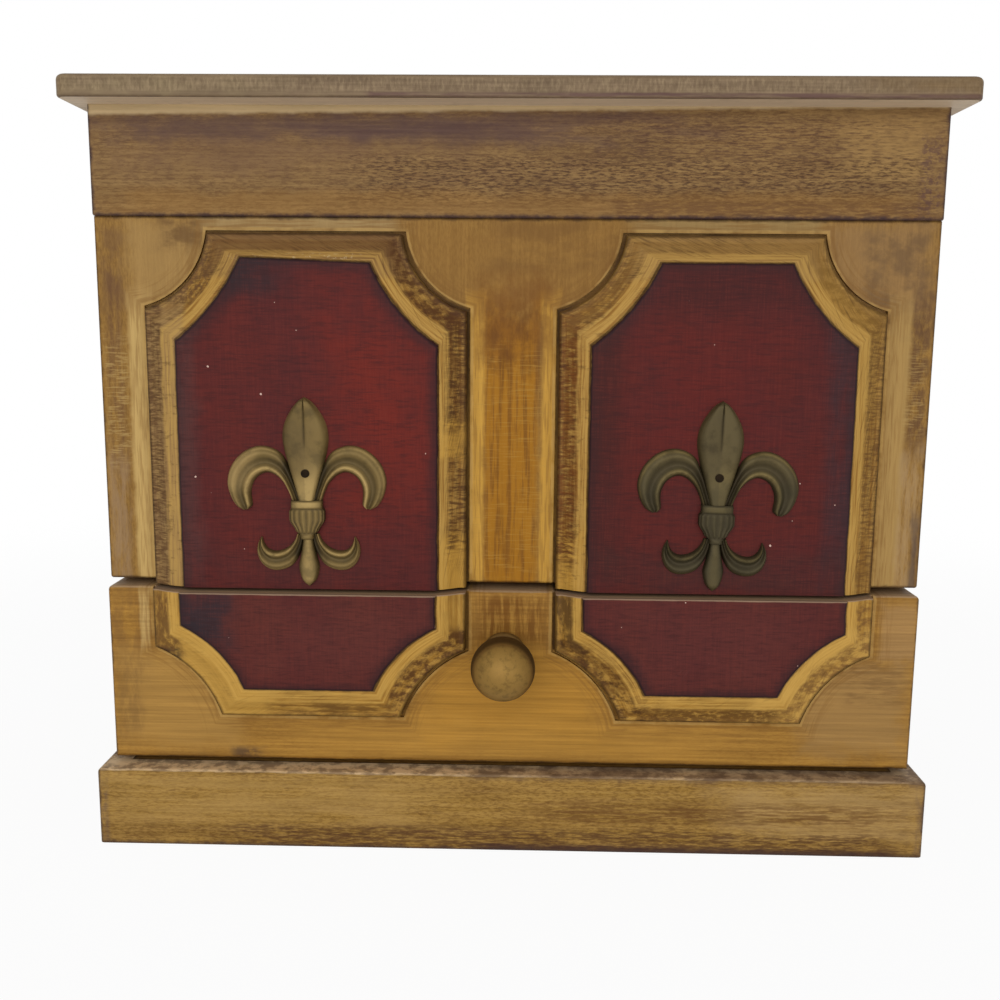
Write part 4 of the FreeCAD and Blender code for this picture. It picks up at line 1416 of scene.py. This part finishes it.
@dataclass(frozen=True)
class Lining:
    """Velvet over card glued to a bottom, as a thin sheet with soft edges.

    It keeps a gap to the walls, its card lies a hair off the board, and its points are a step apart.
    """

    node: str
    body: str
    rests_on: str
    facing: int = 1
    step: float = 3.0
    gap: float = 0.15
    card: float = 0.02

    def build(self, finish: Finish) -> None:
        """Model the sheet in place of its CAD solid.

        Args:
            finish: Its material.
        """
        box = Box.of(self.node)
        wide = box.size.x - 2 * self.gap
        long = box.size.y - 2 * self.gap
        across = max(2, round(wide / self.step))
        deep = max(2, round(long / self.step))
        mesh = Mesh(self.node + "_velvet")
        glued = box.low.z if self.facing > 0 else box.high.z
        upper = []
        lower = []
        for i in range(across + 1):
            x = box.low.x + self.gap + wide * i / across
            high_row = []
            low_row = []
            for j in range(deep + 1):
                y = box.low.y + self.gap + long * j / deep
                edge = min(x - box.low.x, box.high.x - x, y - box.low.y, box.high.y - y)
                rise = box.size.z * (0.62 + 0.3 * ease(edge, 0.0, 4.0))
                rise += waver((x, y, glued), 21.0, 2.0) * 0.07 * ease(edge, 1.0, 9.0)
                high_row.append(mesh.point((x, y, glued + self.facing * rise)))
                low_row.append(mesh.point((x, y, glued + self.facing * self.card)))
            upper.append(high_row)
            lower.append(low_row)
        mesh.grid(upper)
        mesh.grid(lower)
        for rim in (0, -1):
            mesh.strip(upper[rim], lower[rim])
            mesh.strip([row[rim] for row in upper], [row[rim] for row in lower])
        made = mesh.make(finish)
        seat(made, self.body, self.node)


@dataclass(frozen=True)
class RingCushion:
    """Four stuffed rolls side by side, joined along sewn creases that hold rings.

    The creases lie at the height of crease over the tray's floor, and a roll closes over round_end.
    """

    node: str = "ring_cushion"
    rolls: int = 4
    across: int = 22
    along: int = 70
    crease: float = 2.6
    round_end: float = 7.0

    def build(self, finish: Finish) -> None:
        """Model the cushion in place of its CAD solid.

        Args:
            finish: Its material.
        """
        box = Box.of(self.node)
        mesh = Mesh("ring_cushion_rolls")
        roll = box.size.y / self.rolls
        ring = []
        for number in range(self.rolls):
            for step in range(self.across):
                share = step / self.across
                ring.append((number * roll + share * roll, 2 * share - 1))
        ring.append((box.size.y, 1.0))
        rows = []
        for place in range(self.along + 1):
            share = place / self.along
            x = box.low.x + box.size.x * share
            end = min(x - box.low.x, box.high.x - x)
            shrink = math.sqrt(max(0.0, 1 - max(0.0, 1 - end / self.round_end) ** 2))
            row = []
            for y, local in ring:
                crown = math.sqrt(max(0.0, 1 - local * local))
                slack = waver((x, y, 0), 16.0, 4.0) * 0.35 + waver((x, y, 9), 5.0, 4.0) * 0.12
                high = self.crease + (box.size.z - 3.0) * crown ** 0.75 * (0.25 + 0.75 * shrink)
                high += slack * crown * shrink
                pull = (y - box.size.y / 2) * (0.975 + 0.025 * shrink) + box.size.y / 2
                row.append(mesh.point((x, box.low.y + pull, box.low.z + high)))
            for y, local in reversed(ring):
                pull = (y - box.size.y / 2) * (0.965 + 0.025 * shrink) + box.size.y / 2
                tuck = 0.05 if abs(local) < 0.98 else 0.5
                row.append(mesh.point((x, box.low.y + pull, box.low.z + tuck)))
            rows.append(row)
        mesh.grid(rows, closed=True)
        for row in (rows[0], rows[-1]):
            half = len(row) // 2
            mesh.strip(row[:half], list(reversed(row[half:])))
        made = mesh.make(finish)
        seat(made, "tray", self.node)


# ---------------------------------------------------------------- paints of the pieces

# The drawer's upper edge over its panels: worn paint, painted pale as a highlight on its top face.
PALE_TOP_HIGHLIGHT = wash((-230, 230, 77.85, 81), "947b64", 0.85, 0.2)

# Paint of the plinth's front board, streaked, with its ledge pale: rubbed paint and painted light where the
# drawer shades it.
PLINTH_PAINT = AgedPaint(
    base="94702f", pale="ad8a4c", dark="5b3c1c", dashes=0.5, dash=(3.4, 0.45), streaks=0.5,
    speckle=0.45, edge_width=1.4, edge=0.8, edge_code="3f2e28", spared=6.0,
    touches=(
        Touch((-128, -20, 6.0, 22.0), "ad8b50", 0.5, (30, 4), (0.3, 0.6), 3.0),
        Touch((60, 126, 4.0, 22.0), "b0905c", 0.55, (20, 4), (0.25, 0.6), 3.0),
        Touch((0, 118, 8.0, 16.5), "5f3c1b", 0.7, (7, 0.7), (0.38, 0.6), 3.0),
        Touch((-90, 118, -1, 7.5), "4d2f1b", 0.75, (5, 0.6), (0.38, 0.6), 2.0),
        wash((-10, 118, -2, 2.2), "3b2423", 0.75, 1.2),
        Touch((-124, -120, -2, 21), "5b4842", 0.5, (3, 5), (0.35, 0.6), 1.2),
        Touch((120.5, 125, -2, 21), "5b4842", 0.5, (3, 5), (0.35, 0.6), 1.2),
        # painted light on the ledge in the drawer's shade, with rubbed paint
        Touch((-128, 128, 22.9, 25), "dcbd92", 0.9, (6, 1.2), (0.15, 0.5), 0.3),
        Touch((-128, 128, 22.8, 25), "4a3226", 0.6, (5, 0.9), (0.42, 0.6), 0.3),
        Touch((-10, 160, 22.0, 26), "5a4436", 0.75, (14, 3), (0.2, 0.6), 2.0),
    ),
)

# Greyer paint of the lid's top board, worn along its edge, with painted light from below on its underside.
LID_PAINT = AgedPaint(
    base="77634d", pale="8d785d", dark="574634", streaks=0.4, dashes=0.0, speckle=0.15,
    edge_width=0.6, edge=0.4, edge_code="4b3b32",
    touches=(
        wash((-130, -70, 215.9, 221.6), "92805f", 0.6, 8.0),
        Touch((-130, 130, 217.0, 221.2), "9c8768", 0.4, (0.8, 3), (0.42, 0.64), 0.8),
        Touch((-130, 130, 217.2, 221.0), "55432f", 0.4, (0.8, 2.4), (0.42, 0.64), 0.8),
        Touch((-40, 130, 215.9, 217.2), "573b3c", 0.7, (20, 2), (0.3, 0.55), 0.4),
        wash((95, 130, 217, 222), "7d6442", 0.6, 3.0),
        # painted light: the underside strip painted near white, as if lit from the floor below
        wash((-200, 200, 215.0, 215.72), "e4cfb2", 1.0, 0.02),
    ),
)

# Paint of the lid's front rim, smoky above and flecked below, with a painted light strip along its top under
# the lid.
RIM_PAINT = AgedPaint(
    base="80603a", pale="957748", dark="503620", streaks=0.5, dashes=0.45, dash=(3.0, 0.42),
    speckle=0.4, edge_width=1.4, edge=0.85, edge_code="31232a", spared=6.0,
    touches=(
        Touch((-120, 10, 196, 212), "6c503a", 0.6, (40, 12), (0.2, 0.6), 8.0),
        Touch((-117, 30, 205.0, 213.6), "4f3a38", 0.7, (45, 9), (0.26, 0.56), 3.5),
        Touch((-60, 60, 207, 214.6), "4d3634", 0.5, (24, 4), (0.32, 0.6), 2.0),
        # painted light: a pale strip along the top, where the lid's overhang shades the rim
        wash((-160, 160, 212.3, 222), "c3aa80", 0.9, 0.8, 0.0115),
        wash((88, 117, 196, 214), "9b7a48", 0.6, 5.0),
        Touch((-52, 118, 188, 203), "402719", 0.75, (2.6, 0.5), (0.46, 0.6), 3.0),
        Touch((20, 114, 200, 213.5), "4a2f24", 0.65, (3.4, 0.5), (0.46, 0.62), 3.0),
        Touch((25, 119, 185, 190.5), "3c2423", 0.75, (4.0, 0.7), (0.38, 0.58), 1.2),
        wash((-119, 119, 185, 193), "90662b", 0.35, 3.0),
        Touch((112, 119, 186, 210), "4f3535", 0.6, (1.6, 1.2), (0.44, 0.6), 1.5),
    ),
)

# Paint of the upper front board, golden between its panels, with painted highlights in pale strips along the
# stiles beside its panels.
UPPER_FRONT_PAINT = FrontPaint(
    base="8a652e", pale="a58040", dark="5c3c17", grain=Grain.UPRIGHT, streaks=0.3, dashes=0.15,
    grainy=0.25, edge_width=1.0, edge=0.7,
    touches=(
        # painted highlight: pale strip on the left stile beside the left panel
        wash((-111.5, -104, 70, 164), "c2a163", 0.9, 1.2),
        wash((-112, -86, 158, 186), "a1804c", 0.65, 5.0),
        Touch((-119, -111, 158, 186), "6a4c2f", 0.6, (5, 7), (0.32, 0.6), 2.5),
        Touch((-102, -87, 176, 186), "5a3d20", 0.7, (9, 5), (0.3, 0.6), 3.0),
        Touch((-118, -112.5, 112, 172), "5d3e2a", 0.55, (2.2, 9), (0.3, 0.56), 1.6),
        Touch((-118.5, -111, 112, 152), "a98a52", 0.7, (5, 0.5), (0.5, 0.58), 1.6),
        Touch((-119, -112.5, 70, 118), "957a5c", 0.6, (1.8, 14), (0.3, 0.6), 1.6),
        wash((-88.5, -30.5, 181.2, 186), "a18658", 0.85, 0.9),
        wash((30.5, 88.5, 181.2, 186), "957a4b", 0.85, 0.9),
        wash((-33, 36, 156, 186), "87602a", 0.5, 6.0),
        Touch((-10, 36, 170, 186), "6e4c22", 0.6, (14, 6), (0.3, 0.62), 4.0),
        wash((-9, 8, 66, 162), "9d6810", 0.9, 2.2),
        Touch((-10, 9, 78, 152), "6d4312", 0.7, (1.5, 26), (0.45, 0.6), 2.0),
        # painted highlights: pale strips on the middle stile beside both panels
        wash((-13.5, -8, 66, 164), "c6963e", 0.9, 1.2),
        wash((8, 13.5, 66, 164), "c4943c", 0.9, 1.2),
        Touch((-12, 14, 145, 170), "6b4013", 0.6, (9, 7), (0.24, 0.6), 5.0),
        Touch((-9, 9, 142, 162), "55300d", 0.6, (5, 12), (0.4, 0.64), 4.0),
        Touch((-13, 13, 80, 150), "b28a3f", 0.4, (9, 0.35), (0.54, 0.62), 2.0),
        wash((86, 119, 158, 186), "8e6d44", 0.7, 5.0),
        Touch((98, 119, 150, 184), "5c452f", 0.6, (8, 7), (0.34, 0.62), 3.0),
        # painted highlight: pale strip on the right stile beside the right panel
        wash((106.5, 113.5, 70, 164), "a8874f", 0.8, 1.2),
        Touch((113, 119, 118, 166), "5c3f28", 0.75, (2.4, 5), (0.32, 0.58), 1.6),
        Touch((112, 118, 124, 150), "a98a52", 0.5, (5, 0.5), (0.5, 0.58), 1.6),
        Touch((112, 119, 72, 122), "a58860", 0.6, (1.6, 12), (0.3, 0.6), 1.5),
        wash((116.5, 119.4, 72, 102), "3b3034", 0.65, 1.3),
    ),
)

# Paint of the drawer front, honey brown, with its worn top edge painted pale as a highlight and a painted
# highlight beside its left panel.
DRAWER_FRONT_PAINT = FrontPaint(
    base="9a6f2e", pale="ae833a", dark="6f4a1b", dashes=0.1, streaks=0.45, grainy=0.75,
    edge_width=1.0, edge=0.75, halo=0.25, spared=6.0,
    touches=(
        # worn top edge painted pale as a highlight
        wash((-230, 230, 77.7, 81), "a48a6c", 0.85, 0.25),
        Touch((-120, -106, 48, 77), "76532a", 0.6, (3, 7), (0.32, 0.6), 3.0),
        # painted highlight on a bevel beside the left panel
        wash((-110.5, -107.2, 58, 77.6), "bd9d62", 0.8, 0.8),
        wash((-119, -80, 27, 60), "a57f42", 0.65, 6.0),
        Touch((-119, -110, 28, 60), "74542d", 0.5, (3, 8), (0.32, 0.6), 3.0),
        Touch((-84, -74, 23, 29), "46352c", 0.75, (6, 3), (0.3, 0.55), 1.6),
        Touch((-10, 11, 62, 77.5), "6a4110", 0.85, (1.6, 14), (0.34, 0.58), 3.0),
        wash((-28, 30, 30, 62), "ae7d2c", 0.6, 6.0),
        wash((-70, 70, 25, 39), "ad8036", 0.5, 5.0),
        wash((86, 119, 28, 60), "977647", 0.7, 6.0),
        Touch((98, 118, 44, 62), "6b4c29", 0.45, (7, 1.0), (0.38, 0.62), 3.0),
        wash((108, 120, 58, 77), "9a784c", 0.7, 2.0),
        Touch((-120, 120, 23, 26.5), "5a3d1f", 0.5, (20, 2), (0.32, 0.6), 1.0),
    ),
)

# Paint of the upper left panel, bright in its heart and smoky at its left.
LEFT_PAINT = PanelPaint(
    FieldPaint(
        wash((-54, -22, 104, 162), "6c1f14", 0.8, 18.0), border=4.0,
        touches=(
            Touch((-98, -89, 78, 176), "4a3331", 0.5, (8, 22), (0.2, 0.55), 4.0),
            Touch((-92, -62, 163, 176), "241c20", 0.75, (10, 10), (0.2, 0.5), 5.0),
            wash((-100, -30, 78, 92), "40201f", 0.45, 8.0),
        ),
    ),
    touches=(
        wash((-106, -93, 70, 165), "8b7558", 0.45, 2.0),
        wash((-90, -28, 168, 183), "6b4c2e", 0.75, 2.0),
        Touch((-80, -42, 172, 175), "c4b08c", 0.7, (1.6, 0.9), (0.56, 0.64), 0.8),
        wash((-24, -11, 74, 96), "c0923c", 0.7, 2.0),
        wash((-24, -11, 117, 129), "c0923c", 0.7, 2.0),
        Touch((-106.5, -100.0, 70, 172), "573a20", 0.8, (3.4, 0.6), (0.38, 0.6), 1.2),
        Touch((-19.6, -11, 125, 172), "43270f", 0.9, (4.0, 0.9), (0.36, 0.6), 1.6),
        Touch((-20.0, -11, 125, 168), "5e3a14", 0.6, (2.6, 3.6), (0.42, 0.6), 1.4),
        Touch((-19.0, -11, 88, 121), "4c2d12", 0.85, (4.0, 0.8), (0.4, 0.62), 1.4),
    ),
    rubbed=(
        Touch((-106, -84, 160, 184), "5d4024", 0.85, (1.3, 1.3), (0.38, 0.6), 3.0),
        Touch((-36, -11, 152, 184), "48290f", 0.9, (4, 2), (0.36, 0.6), 3.0),
    ),
)

# Paint of the upper right panel, darker and more even.
RIGHT_PAINT = PanelPaint(
    FieldPaint(
        wash((36, 74, 112, 156), "5b1914", 0.6, 16.0), red="521a15", border=4.0,
        touches=(
            wash((30, 88, 158, 176), "3a1614", 0.6, 8.0),
            Touch((88, 100, 78, 176), "332226", 0.7, (8, 22), (0.2, 0.55), 4.0),
            wash((18, 32, 78, 176), "371713", 0.6, 6.0),
            wash((18, 100, 78, 92), "3a1f1c", 0.6, 6.0),
        ),
    ),
    touches=(
        wash((30, 90, 168, 183), "8f6d3c", 0.75, 2.0),
        wash((86, 108, 130, 182), "a07a3a", 0.7, 4.0),
        wash((11, 21, 74, 98), "c0923c", 0.6, 2.0),
        Touch((11, 19.4, 84, 160), "5c3010", 0.9, (4.0, 0.9), (0.36, 0.6), 1.6),
        Touch((11, 20.0, 96, 156), "6e3f14", 0.6, (2.6, 3.6), (0.42, 0.6), 1.4),
        Touch((99.5, 106.5, 78, 160), "65441f", 0.75, (3.4, 0.7), (0.4, 0.62), 1.2),
    ),
    rubbed=(
        Touch((11, 34, 152, 184), "6a4820", 0.75, (2.5, 1.6), (0.36, 0.6), 3.0),
        Touch((84, 106, 152, 184), "70501f", 0.6, (4, 2), (0.36, 0.6), 3.0),
    ),
)

# Paint of the panel at the drawer's left, dark in its far corner.
LOW_LEFT_PAINT = PanelPaint(
    FieldPaint(
        wash((-74, -24, 54, 74), "5b2b25", 0.6, 8.0), red="582720", border=3.0,
        touches=(wash((-100, -80, 62, 80), "232026", 0.8, 6.0),),
    ),
    ochre="a0752f", pale="c79d4e", mottle=0.2, last=(PALE_TOP_HIGHLIGHT,),
    touches=(
        wash((-108, -70, 38, 72), "bd9344", 0.6, 4.0),
        Touch((-104, -97, 56.5, 61), "3a2f20", 0.85, (4, 2), (0.25, 0.5), 1.2),
    ),
    rubbed=(
        Touch((-107, -96, 58, 79), "59391b", 0.8, (2, 5), (0.3, 0.56), 2.0),
        Touch((-36, -10, 37, 68), "4f2f16", 0.9, (3, 2), (0.34, 0.6), 2.0),
        Touch((-72, -32, 37, 45), "60401a", 0.75, (7, 1.5), (0.34, 0.6), 1.5),
    ),
)

# Paint of the panel at the drawer's right.
LOW_RIGHT_PAINT = PanelPaint(
    FieldPaint(wash((32, 88, 54, 76), "582824", 0.6, 8.0), red="55251f", border=3.0),
    ochre="a0752f", pale="c79d4e", mottle=0.25, last=(PALE_TOP_HIGHLIGHT,),
    touches=(
        Touch((70, 108, 38, 70), "c89f52", 0.5, (4, 4), (0.2, 0.55), 3.0),
        Touch((14, 46, 38, 66), "5b3713", 0.6, (3.0, 2.0), (0.42, 0.6), 3.0),
    ),
    rubbed=(
        Touch((10, 46, 37, 66), "452810", 0.9, (3.4, 2.2), (0.42, 0.66), 2.0),
        Touch((10, 22, 60, 79), "452c14", 0.8, (3, 6), (0.3, 0.55), 1.5),
        Touch((40, 82, 37, 45), "5d3d18", 0.85, (2, 1), (0.3, 0.54), 1.5),
        Touch((78, 108, 37, 79), "6a4724", 0.75, (4, 2), (0.38, 0.62), 2.0),
    ),
)


# ---------------------------------------------------------------- the box


@dataclass
class JewelryBox:
    """The whole box, dressed piece by piece: where its fronts and lilies are, and its panels' corners."""

    upper_face: float = -64.425
    drawer_face: float = -67.425
    lily_aside: float = 58.6
    lily_face: float = -71.925
    lily_foot: float = 80.2
    upper_scoops: tuple[Scoop, Scoop] = (Scoop(18.4, 21.2, 25.0), Scoop(19.0, 22.2, 53.0))
    drawer_scoops: tuple[Scoop, Scoop] = (Scoop(19.4, 20.9, 33.0), Scoop(18.2, 19.4, 40.0))

    def __post_init__(self) -> None:
        """Read the panels' outlines from the frame."""
        skews = {
            "upper_plaque_left": Skew(0.85, 2.9, -0.3),
            "upper_plaque_right": Skew(0.0, 1.1, 1.1),
            "drawer_plaque_left": Skew(0.3, -0.7, -0.7),
            "drawer_plaque_right": Skew(-0.55, -0.5, -0.7, 0.7),
        }
        self.panels = {node: self.outline(node, skew) for node, skew in skews.items()}

    def outline(self, node: str, skew: Skew) -> Outline:
        """Outline of one panel, from its CAD box.

        Args:
            node: The panel's node.
            skew: How its field differs.

        Returns:
            The outline.
        """
        box = Box.of(node)
        hanging = node.startswith("drawer")
        base = box.high.z if hanging else box.low.z
        scoops = self.drawer_scoops if hanging else self.upper_scoops
        return Outline(box.middle.x, base, box.size.x, box.size.z, *scoops, hanging, skew)

    def boards(self) -> None:
        """Paint the outside boards of case, lid and drawer."""
        plain = {
            PLINTH_PAINT: ("plinth_front",),
            LID_PAINT: ("lid_top",),
            RIM_PAINT: ("rim_front",),
            AgedPaint(): ("plinth_back", "base_board", "rim_back"),
            AgedPaint(grain=Grain.DEEP): ("plinth_left", "plinth_right", "rim_left", "rim_right"),
            AgedPaint(grain=Grain.UPRIGHT): ("side_panel_left", "side_panel_right"),
        }
        for paint, nodes in plain.items():
            for node in nodes:
                coat(node, paint.board(node + "_paint", Box.of(node)))
        for node, paint in (("upper_front", UPPER_FRONT_PAINT), ("drawer_front", DRAWER_FRONT_PAINT)):
            part = node.split("_")[0]
            outlines = [outline for name, outline in self.panels.items() if name.startswith(part)]
            coat(node, paint.front(node + "_paint", Box.of(node), outlines))

    def insides(self) -> None:
        """Finish the bare, stained and lined pieces inside."""
        woods = {
            BareWood("b08f60", "8e6b40", Grain.ACROSS): (
                "compartment_floor", "drawer_back", "drawer_bottom", "drawer_stop",
                "tray_front", "tray_back", "tray_bottom", "tray_divider_long",
            ),
            BareWood("b08f60", "8e6b40", Grain.DEEP): (
                "drawer_runner_left", "drawer_runner_right", "drawer_side_left", "drawer_side_right",
                "drawer_divider", "tray_left", "tray_right", "tray_divider_cross",
                "tray_ledge_left", "tray_ledge_right",
            ),
            BareWood("4d3420", "2c1c10", Grain.ACROSS, 0.5): (
                "back_panel", "mirror_bead_front", "mirror_bead_back",
            ),
            BareWood("4d3420", "2c1c10", Grain.DEEP, 0.5): ("mirror_bead_left", "mirror_bead_right"),
        }
        for wood, nodes in woods.items():
            for node in nodes:
                coat(node, wood.board(node + "_wood", Box.of(node)))
        coat("mirror", MirrorGlass().material("silvered_glass"))
        velvet = Velvet("5a1016", "74201f").material("wine_velvet")
        Lining("compartment_lining", "case", "compartment_floor").build(velvet)
        Lining("drawer_lining", "drawer", "drawer_bottom").build(velvet)
        Lining("tray_lining", "tray", "tray_bottom").build(velvet)
        Lining("lid_lining", "lid", "lid_top", facing=-1).build(velvet)
        RingCushion().build(Velvet("651318", "822a26").material("cushion_velvet_cloth"))

    def carvings(self) -> None:
        """Model and paint the four carved panels."""
        paints = {
            "upper_plaque_left": LEFT_PAINT,
            "upper_plaque_right": RIGHT_PAINT,
            "drawer_plaque_left": LOW_LEFT_PAINT,
            "drawer_plaque_right": LOW_RIGHT_PAINT,
        }
        for node, paint in paints.items():
            outline = self.panels[node]
            if outline.hanging:
                Panel(node, "drawer", outline, paint, self.drawer_face, deepest=17.0).build()
            else:
                Panel(node, "case", outline, paint, self.upper_face, longer=0.8).build()

    def metalwork(self) -> None:
        """Model the lilies and knob, and finish nails, hinges and screws."""
        brass = OldBrass(
            touches=(
                wash((-85, -73, 108, 120), "a58a58", 0.45, 3.0),
                wash((-68, -56, 112, 129), "57482f", 0.25, 3.0),
            ),
        )
        greened = OldBrass(
            light="7b6a40", mid="50452b", grime=0.55,
            touches=(wash((30, 90, 78, 116), "2f2b1d", 0.65, 8.0),),
        )
        Lily("lily_left", -self.lily_aside, self.lily_face, self.lily_foot, -0.7, brass).build()
        Lily("lily_right", self.lily_aside, self.lily_face, self.lily_foot, 1.2, greened).build()
        steel = Metal("6a655c", "2c2722", 0.35).material("dull_steel")
        nails = Metal("241a0e", "0e0905", 0.6).material("blackened_nails")
        hinge = Metal("a5813f", "5a431f", 0.32).material("rolled_brass")
        for node in ("hinge_leaf_case_left", "hinge_leaf_case_right", "hinge_leaf_lid_left",
                     "hinge_leaf_lid_right", "hinge_pins"):
            coat(node, hinge)
        for node in ("hinge_screws_case", "hinge_screws_lid", "knob_screw"):
            coat(node, steel)
        coat("lily_nails", nails)
        gilt = OldBrass("907036", "75572a", "3d2a12", 0.45, 2.2).material("gilt_knob")
        Knob().build(gilt)

    def build(self) -> None:
        """Dress every piece."""
        self.boards()
        self.carvings()
        self.metalwork()
        self.insides()


# ---------------------------------------------------------------- studio


@dataclass(frozen=True)
class Studio:
    """A pale floor, plain soft light and the camera.

    The floor's half side, its height and the distances between which it fades are in millimetres, the
    lights' aim and the camera's stand in metres, and the camera's turns in degrees.
    """

    daylight: float = 0.45
    half: float = 700.0
    height: float = -0.05
    fade: Flat = (260.0, 620.0)
    aim: Point = (0.0, 0.0, 0.12)
    lens: float = 39.28
    sensor: float = 36.0
    stand: Point = (0.0036, -0.3805, 0.1550)
    turns: tuple[tuple[float, str], ...] = ((1.27, "Z"), (81.0, "X"), (0.48, "Z"))

    def seen(self, graph: Graph) -> Signal:
        """One for rays that show the surroundings: straight, mirrored or through glass.

        Args:
            graph: The node tree it is read in.

        Returns:
            One or zero.
        """
        rays = graph.node("ShaderNodeLightPath").outputs
        shown = Signal(graph, rays["Is Camera Ray"]).most(Signal(graph, rays["Is Glossy Ray"]))
        return shown.most(Signal(graph, rays["Is Transmission Ray"]))

    def floor(self) -> None:
        """Lay a pale floor that keeps the box's shadow and fades into the white room."""
        graph = Graph(bpy.data.materials.new("pale_floor"))
        spot = graph.place()
        x, y, _ = graph.parts(spot)
        soft = graph.noise(spot, (300, 300, 300), 1.0, 0.5)
        colour = graph.mix(soft, "f2f2f2", "f6f6f6")
        paper = graph.node("ShaderNodeBsdfDiffuse", values={"Color": colour}).outputs[0]
        white = graph.node("ShaderNodeEmission", values={"Strength": 1.0}).outputs[0]
        clear = graph.node("ShaderNodeBsdfTransparent").outputs[0]
        bright = self.seen(graph) * 0.94
        lit = graph.node("ShaderNodeMixShader", values={0: bright, 1: paper, 2: white}).outputs[0]
        away = (x * x + y * y).root().rise(*self.fade)
        faded = graph.node("ShaderNodeMixShader", values={0: away, 1: lit, 2: clear}).outputs[0]
        graph.node("ShaderNodeOutputMaterial", values={"Surface": faded})
        mesh = Mesh("floor")
        corners = ((-1, -1), (1, -1), (1, 1), (-1, 1))
        mesh.face([mesh.point((self.half * x, self.half * y, self.height)) for x, y in corners])
        mesh.make(graph.owner)

    def light(self, name: str, place: Point, size: float, power: float) -> None:
        """Add one square area light, in metres and watts.

        Args:
            name: Its name.
            place: Where it is.
            size: Its side.
            power: Its power.
        """
        lamp = bpy.data.lights.new(name, "AREA")
        lamp.size = size
        lamp.energy = power
        made = bpy.data.objects.new(name, lamp)
        made.location = place
        made.rotation_euler = (Vector(self.aim) - Vector(place)).to_track_quat("-Z", "Y").to_euler()
        bpy.context.scene.collection.objects.link(made)

    def sky(self) -> None:
        """White room round the box, which lights it softly."""
        graph = Graph(bpy.data.worlds.new("white_room"))
        strength = self.seen(graph) * (1 - self.daylight) + self.daylight
        room = graph.node("ShaderNodeBackground", values={"Color": "ffffff", "Strength": strength})
        graph.node("ShaderNodeOutputWorld", values={"Surface": room.outputs[0]})
        bpy.context.scene.world = graph.owner

    def camera(self) -> None:
        """Add the camera in front of the box, a little above and to the right."""
        data = bpy.data.cameras.new("camera")
        data.lens = self.lens
        data.sensor_width = self.sensor
        data.clip_start = 0.01
        made = bpy.data.objects.new("camera", data)
        turn = Matrix.Identity(4)
        for degrees, axis in self.turns:
            turn = turn @ Matrix.Rotation(math.radians(degrees), 4, axis)
        made.matrix_world = Matrix.Translation(self.stand) @ turn
        bpy.context.scene.collection.objects.link(made)
        bpy.context.scene.camera = made

    def build(self) -> None:
        """Set up floor, light and camera."""
        self.floor()
        self.sky()
        self.light("key", (-0.35, -1.6, 0.5), size=1.2, power=12.5)
        self.light("fill", (0.7, -1.5, 0.2), size=1.0, power=5.5)
        self.camera()
        bpy.context.scene.view_settings.view_transform = "Standard"


def main() -> None:
    """Dress the box and set the scene."""
    logging.basicConfig(level=logging.INFO, format="%(message)s")
    JewelryBox().build()
    Studio().build()


if __name__ == "__main__":
    main()
